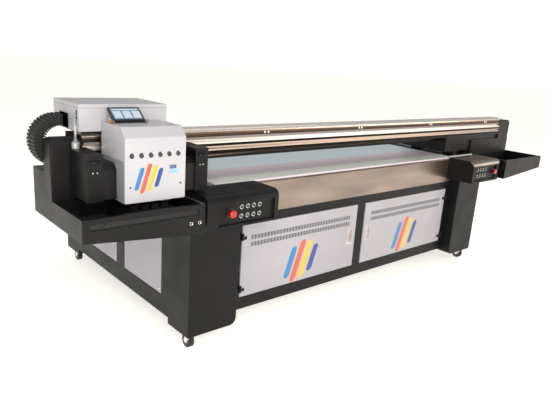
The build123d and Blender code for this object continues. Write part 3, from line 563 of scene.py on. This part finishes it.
def screws(name, centres, axis, outward, radius, body, finish=None):
    """Domed cross-head screws: each a low dome with a cross cut into it, on a surface facing outward."""
    mesh = bmesh.new()
    height = radius * 0.45
    for middle in centres:
        middle = Vector(middle)
        profile = [(0, radius), (height * 0.5, radius * 0.92), (height * 0.85, radius * 0.62),
                   (height, radius * 0.3), (height * 0.55, radius * 0.26), (height * 0.55, radius * 0.02)]
        sign = -outward if axis == 1 else outward
        add_profile(mesh, [(sign * along, r) for along, r in profile], middle, axis, segments=20)
    return piece(name, mesh, finish or screw_steel, body)


# ---------------------------------------------------------------- the base
def door_details(side):
    """Ink-bar decal, and the filter mesh and bars of the two bands of vent slots."""
    body = f"{side}_door"
    low, high = box[body]
    middle = (low.x + high.x) / 2
    ink_bars(f"{side}_door_decal", (middle, door_face, low.z + DECAL_RISE), DOOR_DECAL_WIDTH, body)
    margin = 6 * MM
    sheet = door_face + DOOR_SHEET
    bands = [(foot, foot + VENT_HEIGHT) for foot in vent_bands(body)]
    left, right = low.x + VENT_MARGIN - margin, high.x - VENT_MARGIN + margin
    slabs(f"{side}_vent_mesh", [((left, sheet, foot - margin), (right, sheet + 1 * MM, top + margin))
                                for foot, top in bands], mesh_grey, body, smooth=False)
    edges = slot_edges(body)
    slabs(f"{side}_vent_bars", [((start, door_face - FILM, foot), (end, door_face, top))
                                for foot, top in bands for start, end in zip(edges[1::2], edges[2::2])],
          bar_grey, body, smooth=False)


def slot_edges(body):
    """x of the sides of the vent slots, from left to right."""
    foot = vent_bands(body)[0]
    return levels(body, 0, lambda p: abs(p.z - foot) < NEAR and p.y < door_face + NEAR)


def vent_bands(body):
    """Lower edges of the bands of vent slots, from the door's own vertices."""
    low, high = box[body]
    middle = (low.x + high.x) / 2
    reach = 0.2
    near = levels(body, 2, lambda p: abs(p.x - middle) < reach and p.z > high.z - reach
                  and p.y < door_face + DOOR_SHEET)
    rounded = [round(z, 4) for z in near]
    return [z for z in near if round(z + VENT_HEIGHT, 4) in rounded]


def ink_bars(name, middle, width, body):
    """Four slanted bars with round ends in the printing inks, as a vinyl decal facing the front."""
    film = 0.25 * MM
    bar = width / 6.4
    pitch = bar * 1.45
    lean = 0.32
    arc_steps = 12
    for index, (ink, reach) in enumerate(zip(inks, INK_BAR_SHARES)):
        mesh = bmesh.new()
        half = width * reach / 2 - bar / 2
        x = middle[0] + (index - 1.5) * pitch
        outline = []
        for end in (1, -1):
            for step in range(arc_steps + 1):
                angle = math.pi * step / arc_steps + (0 if end == 1 else math.pi)
                across = bar / 2 * math.cos(angle)
                up = bar / 2 * math.sin(angle) + end * half
                outline.append((x + across + up * lean, middle[2] + up))
        front = [mesh.verts.new((px, middle[1] - film, pz)) for px, pz in outline]
        back = [mesh.verts.new((px, middle[1], pz)) for px, pz in outline]
        mesh.faces.new(front)
        mesh.faces.new(back)
        join_rings(mesh, front, back)
        piece(f"{name}_{index + 1}", mesh, ink, body, smooth=False)


def panel_screws():
    """Screws at the corners of the fixed side panels."""
    low, high = box["cabinet_panels"]
    inset = 22 * MM
    radius = 5 * MM
    front, front_end, rear, rear_end = side_panel_ends
    places = [(y, z) for y in (front + inset, front_end - inset, rear + inset, rear_end - inset)
              for z in (low.z + inset, high.z - inset)]
    for side, x, outward in (("left", low.x, -1), ("right", high.x, 1)):
        screws(f"{side}_panel_screws", [(x, y, z) for y, z in places], 0, outward, radius, "base")


def table_edge():
    """Pale strip along the table's front edge, and the trim across the deck beside it."""
    low, high = box["vacuum_table"]
    strip = 0.6 * MM
    slabs("table_edge_strip", [((low.x, low.y, high.z), (high.x, low.y + EDGE_STRIP, high.z + strip))],
          edge_film, "base", smooth=False)
    left, right = high.x + 8 * MM, box["base_frame"][1].x - 4 * MM
    front = box["right_console"][1].y + 30 * MM
    slabs("deck_trim", [((left, front, DECK_TOP), (right, front + 16 * MM, high.z))],
          edge_film, "base", bevel=1 * MM)


def deck_caps():
    """Plates that close the rear ends of the two wide deck tubes."""
    rear = box["base_frame"][1].y
    edges = levels("base_frame", 0, lambda p: p.y > rear - NEAR and p.z > DECK_TOP - 1 * MM)
    foot, top = DECK_TOP - DECK_DEPTH + TUBE_WALL, DECK_TOP - TUBE_WALL
    boxes = [((left + TUBE_WALL, rear - 4 * MM, foot), (right - TUBE_WALL, rear - 1 * MM, top))
             for left, right in (edges[:2], edges[-2:])]
    slabs("deck_end_caps", boxes, black_coat, "base", bevel=1 * MM)


def stop_details(side):
    """Dark disc behind each stop button."""
    stop = centre(f"{side}_emergency_stop")
    mesh = bmesh.new()
    thickness, bore, rim = 0.8 * MM, 15.4 * MM, 24 * MM
    profile = [(0, bore), (thickness, bore), (thickness, rim), (0, rim), (0, bore)]
    add_profile(mesh, profile, (stop.x, console_face, stop.z), 1)
    piece(f"{side}_stop_plate", mesh, stop_plate_dark, "base")


def console_details(side):
    """Fine lines round the group of buttons on a console's face, and the face's screws."""
    buttons = console_centres(side, "_button_")
    left, right = min(b.x for b in buttons), max(b.x for b in buttons)
    foot, top = min(b.z for b in buttons), max(b.z for b in buttons)
    margin = 22 * MM
    half_line = 0.4 * MM
    front = console_face - FILM
    lines = [((left - margin, front, z - half_line), (right + margin, console_face, z + half_line))
             for z in (foot - margin, top + margin)]
    lines += [((x - half_line, front, foot - margin), (x + half_line, console_face, top + margin))
              for x in (left - margin, right + margin)]
    slabs(f"{side}_console_lines", lines, print_grey, "base", smooth=False)
    beside, above = 1.4 * margin, 0.8 * margin
    corners = [(x, console_face, z) for x in (left - beside, right + beside)
               for z in (foot - above, top + above)]
    screws(f"{side}_console_screws", corners, 1, -1, 2.5 * MM, "base", dark_screw)


# ---------------------------------------------------------------- the gantry
def beam_details():
    """Pairs of bright screws along the hood."""
    low, high = box["beam_cover"]
    spacing = 0.8
    pair = 26 * MM
    count = 5
    first = (low.x + high.x) / 2 - spacing * (count - 1) / 2
    height = low.z + 9 * MM
    centres = [(first + step * spacing + side * pair, low.y, height)
               for step in range(count) for side in (-0.5, 0.5)]
    screws("hood_screws", centres, 1, -1, 6.5 * MM, "gantry", bright_screw)


def tray_details():
    """Sockets, latch and edge strip of the left tray, and the grating on its floor."""
    low, high = box["left_tray"]
    ring = millimetres((0, 5.4), (3.0, 5.8), (4.6, 7.2), (4.9, 8.0), (4.4, 8.9), (0, 8.9), (0, 5.4))
    core = millimetres((0, 0.1), (0, 5.3), (1.4, 5.3), (2, 4.4), (2, 0.1))
    places = [(high.x - place, low.y + PORT_DEPTH, high.z - PORT_DROP) for place in PORT_PLACES]
    for name, profile, finish in (("tray_ports", ring, chrome), ("tray_port_cores", core, bezel_plastic)):
        mesh = bmesh.new()
        for place in places:
            add_profile(mesh, profile, place, 1)
        piece(name, mesh, finish, "gantry")
    x = low.x + 100 * MM
    floor = low.y + GROOVE_DEPTH
    foot, top = high.z - GROOVE_EDGES[0] + 1 * MM, high.z - GROOVE_EDGES[1] - 1 * MM
    lever = 5 * MM
    slabs("tray_latch", [((x - 13 * MM, floor - 2.5 * MM, foot), (x + 13 * MM, floor, top)),
                         ((x - 6 * MM, low.y, foot + lever), (x + 6 * MM, floor - 2 * MM, top - lever))],
          bezel_plastic, "gantry", bevel=1.2 * MM)
    slabs("tray_edge_strip", [((high.x - 18 * MM, low.y + 8 * MM, high.z),
                               (high.x - 2 * MM, high.y - 110 * MM, high.z + 1.2 * MM))],
          pull_steel, "gantry", bevel=0.5 * MM)
    wall = 20 * MM
    first, pitch, width, count = 4 * MM, 17 * MM, 9 * MM, 12
    lefts = [low.x + wall + first + pitch * step for step in range(count)]
    slabs("tray_grating", [((left, low.y + wall, high.z - 87 * MM),
                            (left + width, high.y - wall, high.z - 79 * MM)) for left in lefts],
          slat_plastic, "gantry", bevel=1 * MM)


def station_lips():
    """Rubber lips round the caps of the service station."""
    low, high = box["maintenance_station"]
    first, pitch, count = 28 * MM, 50 * MM, 4
    apart, width, tall, end = 27 * MM, 5 * MM, 2 * MM, 16 * MM
    lefts = [low.x + first + step * pitch + across for step in range(count) for across in (0, apart)]
    slabs("cap_lips", [((left, low.y + end, high.z), (left + width, high.y - end, high.z + tall))
                       for left in lefts], tyre_rubber, "gantry", bevel=0.8 * MM)


# ---------------------------------------------------------------- energy chain
LINK = 50 * MM
WEB_INSET = 5 * MM
SIDE_PLATE = 9 * MM
CROSSBAR = 7 * MM
CROSSBAR_INSET = 2 * MM


def chain_link(name, middle):
    """One link: side plates and crossbars round a narrower web."""
    low, high = box["chain_lower_run"]
    wide, tall = (high.y - low.y) / 2, (high.z - low.z) / 2
    mesh = bmesh.new()
    web = Vector((0.49 * LINK, wide - WEB_INSET, tall - WEB_INSET))
    add_slab(mesh, -web, web)
    for side in (-1, 1):
        plate = sorted((side * wide, side * (wide - SIDE_PLATE)))
        add_slab(mesh, (-0.40 * LINK, plate[0], -tall), (0.30 * LINK, plate[1], tall))
        bar = sorted((side * tall, side * (tall - CROSSBAR)))
        across = wide - CROSSBAR_INSET
        add_slab(mesh, (-0.28 * LINK, -across, bar[0]), (0.16 * LINK, across, bar[1]))
    bmesh.ops.translate(mesh, verts=mesh.verts, vec=middle)
    return piece(name, mesh, chain_nylon, None, bevel=1.2 * MM)


def at_ratio(link):
    """Bake a link's placement into its mesh.
    """
    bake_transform(link)


def spread(first, last, count):
    """Evenly spaced values from the first to the last."""
    return [first + (last - first) * step / (count - 1) for step in range(count)]


def energy_chain():
    """Links spread from the fixed end, round the bend and on to the carriage."""
    lower, upper = box["chain_lower_run"], box["chain_upper_run"]
    travel = joint_named("carriage_travel")["range_m"][1]
    y = (lower[0].y + lower[1].y) / 2
    low_z, high_z = ((run[0].z + run[1].z) / 2 for run in (lower, upper))
    start, fixed = lower[0].x, lower[1].x
    turned = start + travel / 2
    count = round((fixed - start) / LINK)
    half = (fixed - start) / count / 2
    places = zip(spread(start + half, fixed - half, count), spread(turned + half, fixed - half, count))
    for index, (x, end_x) in enumerate(places, start=1):
        link = chain_link(f"chain_lower_link_{index:02d}", (x, y, low_z))
        at_ratio(link)
        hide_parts("chain_lower_run")
    half = LINK / 2
    reach = upper[1].x - start + travel / 2
    count = math.ceil(reach / LINK)
    places = zip(spread(start + half, upper[1].x - half, count),
                 spread(turned + half, turned + reach - half, count))
    for index, (x, end_x) in enumerate(places, start=1):
        link = chain_link(f"chain_upper_link_{index:02d}", (x, y, high_z))
        at_ratio(link)
        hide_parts("chain_upper_run")
    chain_bend(upper[1].z - upper[0].z)


def add_sector(mesh, axis, radii, y, angles, steps=4):
    """Curved bar about an axis along y, from one angle to another; angles grow from up towards -x."""
    rings = []
    corners = ((radii[0], y[0]), (radii[1], y[0]), (radii[1], y[1]), (radii[0], y[1]))
    for step in range(steps + 1):
        angle = angles[0] + (angles[1] - angles[0]) * step / steps
        rings.append([mesh.verts.new((axis[0] - r * math.sin(angle), across, axis[1] + r * math.cos(angle)))
                      for r, across in corners])
    for first, second in zip(rings, rings[1:]):
        join_rings(mesh, first, second)
    mesh.faces.new(rings[0])
    mesh.faces.new(rings[-1])


def chain_bend(tall):
    """Half-round bend: ribbed links side by side over a dark web, with the cables showing inside."""
    bend = box["chain_bend"]
    outer = (bend[1].z - bend[0].z) / 2
    inner = outer - tall
    axis = (bend[1].x, bend[0].z + outer)
    y = (bend[0].y, bend[1].y)
    half_turn, smooth_steps = (0, math.pi), 48
    core = inner + 10 * MM
    web = bmesh.new()
    web_y = (y[0] + WEB_INSET, y[1] - WEB_INSET)
    add_sector(web, axis, (core, outer - WEB_INSET), web_y, half_turn, smooth_steps)
    links = bmesh.new()
    count = 22
    pitch = math.pi / count
    bar_y = (y[0] + CROSSBAR_INSET, y[1] - CROSSBAR_INSET)
    for start in (step * pitch for step in range(count)):
        for plate_y in ((y[0], y[0] + SIDE_PLATE), (y[1] - SIDE_PLATE, y[1])):
            add_sector(links, axis, (inner, outer), plate_y, (start + 0.1 * pitch, start + 0.86 * pitch))
        for radii in ((outer - CROSSBAR, outer), (inner, inner + 5 * MM)):
            add_sector(links, axis, radii, bar_y, (start + 0.2 * pitch, start + 0.7 * pitch))
    cables = bmesh.new()
    cable_y = (y[0] + 14 * MM, y[1] - 14 * MM)
    add_sector(cables, axis, (inner + 3 * MM, core), cable_y, half_turn, smooth_steps)
    for name, mesh, finish, bevel in (("web", web, chain_nylon, 0),
                                      ("links", links, chain_nylon, 0.6 * MM),
                                      ("cables", cables, cable_grey, 0)):
        made = piece(f"chain_bend_{name}", mesh, finish, "chain_bend", bevel=bevel)
        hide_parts("chain_bend")


# ---------------------------------------------------------------- the carriage
def cover_details():
    """Button rings, gauge, screws and decal of the front cover, and a darker bluish sheet on its lower left
    side that is painted shade.
    """
    ring = millimetres((0, 10.5), (2.4, 10.5), (3.0, 11.2), (2.6, 12.6), (0, 13.2))
    rings = bmesh.new()
    for name in (n for n in nodes if n.startswith("cover_button_")):
        where = centre(name)
        add_profile(rings, ring, (where.x, cover_face, where.z), 1)
    piece("cover_button_rings", rings, chrome, "carriage")
    gauge_details()
    side_inset = 24 * MM
    rise = 69 * MM
    screws("cover_screws", [(cover_left + side_inset, cover_face, cover_foot + rise),
                            (cover_right - side_inset, cover_face, cover_foot + rise)],
           1, -1, 5 * MM, "carriage", dark_screw)
    decal = (cover_left + 112 * MM, cover_face, cover_foot + 103 * MM)
    ink_bars("cover_decal", decal, COVER_DECAL_WIDTH, "carriage")
    # Darker bluish sheet on the lower left side of the cover: painted shade.
    slabs("cover_side_shade_sheet", [((cover_left - 1.2 * MM, cover_face + 8 * MM, cover_foot + 4 * MM),
                                (cover_left, box["front_cover"][1].y - 6 * MM, cover_foot + 180 * MM))],
          cover_side_painted_shade, "carriage", bevel=0.5 * MM)


def gauge_details():
    """Screen, digits and label of the gauge, on its block on the front cover."""
    left, right, foot, top = gauge_zone()
    face = box["front_cover"][0].y
    glass = face - 0.6 * MM
    slabs("gauge_screen", [((left + 2 * MM, glass, top - 17 * MM), (right - 12 * MM, face, top - 2 * MM))],
          screen_glass, "carriage", bevel=0.4 * MM)
    digit, lit, count = 6.5 * MM, face - 0.8 * MM, 4
    strokes = []
    for x in (left + 6 * MM + step * digit for step in range(count)):
        for z in (top - 14 * MM, top - 9.8 * MM, top - 5.6 * MM):
            strokes.append(((x, lit, z), (x + 4 * MM, glass, z + 1 * MM)))
        for start in (x, x + 3.2 * MM):
            strokes.append(((start, lit, top - 14 * MM), (start + 0.8 * MM, glass, top - 5 * MM)))
    slabs("gauge_digits", strokes, digit_blue, "carriage", smooth=False)
    label = face - FILM
    slabs("gauge_label", [((left + 1 * MM, label, foot + 1 * MM), (right - 1 * MM, face, top - 19 * MM))],
          label_blue, "carriage", smooth=False)
    lines = []
    for step in range(4):
        z = foot + (3.4 + step * 4) * MM
        end = right - (6 + 7 * (step % 2)) * MM
        lines.append(((left + 4 * MM, face - 0.5 * MM, z), (end, label, z + 1.2 * MM)))
    slabs("gauge_label_lines", lines, label_ink, "carriage", smooth=False)


def gauge_zone():
    """x span and z span of the block that carries the gauge: left, right, bottom, top."""
    face = box["front_cover"][0].y
    points = [v.co for v in nodes["front_cover"].data.vertices if v.co.y < face + NEAR]
    across, heights = [p.x for p in points], [p.z for p in points]
    return min(across), max(across), min(heights), max(heights)


def rear_cover_details():
    """Lid seam, cable slot, vents and screws of the box over the back of the carriage."""
    low, high = box["rear_cover"]
    skin = 0.3 * MM
    seam = high.z - 16 * MM
    slabs("rear_cover_seam", [((low.x - skin, low.y - skin, seam - 1 * MM),
                               (high.x + skin, high.y + skin, seam))],
          dark_seam_and_shade, "carriage", smooth=False)
    slabs("rear_cover_slot", [((low.x - 2 * skin, low.y + 16 * MM, high.z - 64 * MM),
                               (low.x, low.y + 30 * MM, high.z - 26 * MM))],
          dark_seam_and_shade, "carriage", bevel=0.2 * MM)
    middle = (low.x + high.x) / 2
    pitch, half_slot, count = 22 * MM, 3 * MM, 12
    foot, top = low.z + 30 * MM, high.z - 34 * MM
    centres = [middle + (step - (count - 1) / 2) * pitch for step in range(count)]
    slabs("rear_cover_vents", [((x - half_slot, high.y, foot), (x + half_slot, high.y + 2 * skin, top))
                               for x in centres], dark_seam_and_shade, "carriage", smooth=False)
    inset = 14 * MM
    for side, x, outward in (("left", low.x, -1), ("right", high.x, 1)):
        places = [(x, y, low.z + inset) for y in (low.y + inset, high.y - inset)]
        screws(f"rear_cover_{side}_screws", places, 0, outward, 3.5 * MM, "carriage")


def ink_tube():
    """Clear tube from the cable slot down to its filter cup on the left lamp."""
    lamp = box["left_uv_lamp"]
    rear = box["rear_cover"]
    cup = Vector((lamp[0].x + 18 * MM, lamp[0].y + 162 * MM, lamp[1].z))
    cup_height = 42
    top = cup + Vector((0, 0, cup_height)) * MM
    mouth = Vector((rear[0].x, rear[0].y + 24 * MM, rear[1].z - 50 * MM))
    route = [top, top + Vector((0, 0, 60)) * MM]
    route += [mouth + Vector(step) * MM for step in ((-12, -2, -10), (-10, 0, 0), (1, 0, 0))]
    tube = bmesh.new()
    add_tube(tube, smooth_path(route), 5 * MM)
    piece("ink_tube", tube, clear_plastic, "carriage")
    cup_profile = ((0, 0.1), (0, 15), (3, 17), (26, 17), (30, 13), (34, 7.5), (cup_height, 7.5),
                   (cup_height, 0.1))
    core_profile = ((2, 0.1), (2, 9), (24, 9), (24, 0.1))
    for name, profile, finish in (("filter_cup", cup_profile, clear_plastic),
                                  ("filter_core", core_profile, bright_screw)):
        mesh = bmesh.new()
        add_profile(mesh, millimetres(*profile), cup, 2)
        piece(name, mesh, finish, "carriage")


def lamp_details(side, outward):
    """Louvres on the lamp's front and outer side, a cap, a handle and screws."""
    low, high = box[f"{side}_uv_lamp"]
    wall = 1.6 * MM
    outer = low.x if outward < 0 else high.x
    ends = sorted((outer, outer + outward * wall))
    first, pitch, rib, count = 18 * MM, 13 * MM, 5 * MM, 6
    louvres = []
    for z in (low.z + first + step * pitch for step in range(count)):
        louvres.append(((low.x + 9 * MM, low.y - wall, z), (high.x - 9 * MM, low.y, z + rib)))
        louvres.append(((ends[0], low.y + 14 * MM, z), (ends[1], high.y - 14 * MM, z + rib)))
    slabs(f"{side}_lamp_louvres", louvres, tray_coat, "carriage", bevel=0.7 * MM)
    edge = 2 * MM
    slabs(f"{side}_lamp_cap", [((low.x - edge, low.y - edge, high.z - 9 * MM),
                                (high.x + edge, high.y + edge, high.z + 0.5 * MM))],
          grey_coat, "carriage", bevel=1.5 * MM)
    height = low.z + 0.62 * (high.z - low.z)
    middle = (low.x + high.x) / 2
    places = [(middle + across, low.y, height) for across in (-9 * MM, 9 * MM)]
    screws(f"{side}_lamp_screws", places, 1, -1, 3 * MM, "carriage")
    grip = Vector((middle, low.y, high.z - 30 * MM))
    steps = ((-22, 0, 0), (-22, -16, 0), (0, -18, 0), (22, -16, 0), (22, 0, 0))
    route = [grip + Vector(step) * MM for step in steps]
    handle = bmesh.new()
    add_tube(handle, smooth_path(route), 3 * MM)
    piece(f"{side}_lamp_handle", handle, bezel_plastic, "carriage")


def screen_frame():
    """Placement of the display's front face, with its width and height."""
    mesh = nodes["display"].data
    leaning = [f for f in mesh.polygons if f.normal.y < -0.5 and f.normal.z > 0.5 and f.area > 1e-4]
    points = [mesh.vertices[i].co for f in leaning for i in f.vertices]
    left, right = min(p.x for p in points), max(p.x for p in points)
    foot = min(points, key=lambda p: p.z)
    head = max(points, key=lambda p: p.z)
    up = Vector((0, head.y - foot.y, head.z - foot.z))
    tall = up.length
    up.normalize()
    along = Vector((1, 0, 0))
    turn = Matrix((along, up, along.cross(up))).transposed().to_4x4()
    return Matrix.Translation((left, foot.y, foot.z)) @ turn, right - left, tall


def display_details():
    """Screen glass inside the display's bezel, with plain tiles and a bar, and the tilt knobs."""
    place, wide, tall = screen_frame()
    margin = 7 * MM
    inner = 6 * MM
    glass = 0.5 * MM
    print_top = glass + 0.1 * MM

    def plate(name, span, rise, lift, finish, bevel=0.3 * MM):
        mesh = bmesh.new()
        add_slab(mesh, (span[0], rise[0], lift[0]), (span[1], rise[1], lift[1]))
        bmesh.ops.transform(mesh, verts=mesh.verts, matrix=place)
        piece(name, mesh, finish, "display", bevel=bevel)

    plate("screen", (margin, wide - margin), (margin, tall - margin), (0, glass), screen_blue)
    tile, pitch = 36 * MM, 44 * MM
    for step in range(3):
        start = margin + inner + pitch * step
        plate(f"screen_tile_{step + 1}", (start, start + tile), (margin + inner, tall - margin - 18 * MM),
              (glass, print_top), screen_tile, bevel=0)
    plate("screen_bar", (margin + inner, wide - margin - inner),
          (tall - margin - 12 * MM, tall - margin - 5 * MM), (glass, print_top), screen_tile, bevel=0)
    cheeks = levels("front_cover", 0, lambda p: p.z > cover_top + 12 * MM)
    pivot = joint_named("display_tilt")["pos_m"]
    profile = millimetres((0, 0.1), (0, 6), (2, 9), (9, 9), (11, 7), (11, 0.1))
    for side, x, outward in (("left", cheeks[0], -1), ("right", cheeks[-1], 1)):
        knob = bmesh.new()
        add_profile(knob, [(outward * along, r) for along, r in profile], (x, pivot[1], pivot[2]), 0)
        piece(f"{side}_tilt_knob", knob, brass, "carriage")


def carriage_handle():
    """Grab handle under the cover's front edge."""
    start = Vector((cover_right - 90 * MM, cover_face, cover_foot + 1 * MM))
    steps = ((-55, 30, 0), (-55, 20, -7), (-20, 12, -8), (20, 12, -8), (55, 20, -7), (55, 30, 0))
    mesh = bmesh.new()
    add_tube(mesh, smooth_path([start + Vector(step) * MM for step in steps]), 3 * MM)
    piece("carriage_handle", mesh, chrome, "carriage")


# ---------------------------------------------------------------- stage, lights and camera
def stage():
    """Pale floor that runs far behind the machine."""
    mesh = bmesh.new()
    bmesh.ops.create_circle(mesh, cap_ends=True, segments=96, radius=60)
    floor = piece("floor", mesh, floor_paint, None, smooth=False)


def softbox(name, place, target, size, power, tint):
    light = bpy.data.lights.new(name, "AREA")
    light.shape = "RECTANGLE"
    light.size, light.size_y = size
    light.energy = power
    light.color = colour(tint)[:3]
    lamp = bpy.data.objects.new(name, light)
    lamp.location = place
    lamp.rotation_mode = "QUATERNION"
    lamp.rotation_quaternion = (Vector(target) - Vector(place)).to_track_quat("-Z", "Y")
    bpy.context.scene.collection.objects.link(lamp)


def lights():
    """Large soft key beside the camera, weak fills from the right and above, and a white backdrop."""
    softbox("key", (-3.4, -4.8, 2.7), (0, 0, 0.6), (3.6, 2.6), 215, "#fffaf4")
    softbox("right", (5.0, -4.5, 2.4), (0.5, 0, 0.6), (3.0, 2.5), 110, "#ffeede")
    softbox("top", (0.3, 0.4, 4.6), (0.3, 0, 0.8), (6.0, 3.0), 25, "#fbfdff")
    world = bpy.data.worlds.new("studio")
    world.use_nodes = True
    tree = world.node_tree
    background = tree.nodes["Background"]
    background.inputs["Color"].default_value = colour("#fffef9")
    seen = add_node(tree, "ShaderNodeLightPath").outputs["Is Camera Ray"]
    strength = add_node(tree, "ShaderNodeMapRange", Value=seen, To_Min=0.45, To_Max=1.05)
    tree.links.new(strength.outputs["Result"], background.inputs["Strength"])
    bpy.context.scene.world = world


def camera():
    """Three-quarter view from the left front, a little above the table."""
    yaw, pitch, roll = math.radians(41.72), math.radians(15.27), math.radians(4.02)
    forward = Vector((math.sin(yaw) * math.cos(pitch), math.cos(yaw) * math.cos(pitch), -math.sin(pitch)))
    data = bpy.data.cameras.new("camera")
    data.sensor_width = 36
    data.lens = 35.7
    data.clip_end = 200
    eye = bpy.data.objects.new("camera", data)
    eye.location = (-2.774, -2.910, 1.5315)
    eye.rotation_mode = "QUATERNION"
    eye.rotation_quaternion = forward.to_track_quat("-Z", "Y") @ Quaternion((0, 0, 1), roll)
    bpy.context.scene.collection.objects.link(eye)
    bpy.context.scene.camera = eye


paint_base()
paint_gantry()
for side in ("left", "right"):
    door_details(side)
    stop_details(side)
    console_details(side)
panel_screws()
table_edge()
deck_caps()
beam_details()
tray_details()
station_lips()
energy_chain()
cover_details()
rear_cover_details()
ink_tube()
lamp_details("left", -1)
lamp_details("right", 1)
display_details()
carriage_handle()
stage()
lights()
camera()
bpy.context.scene.view_settings.view_transform = "Standard"
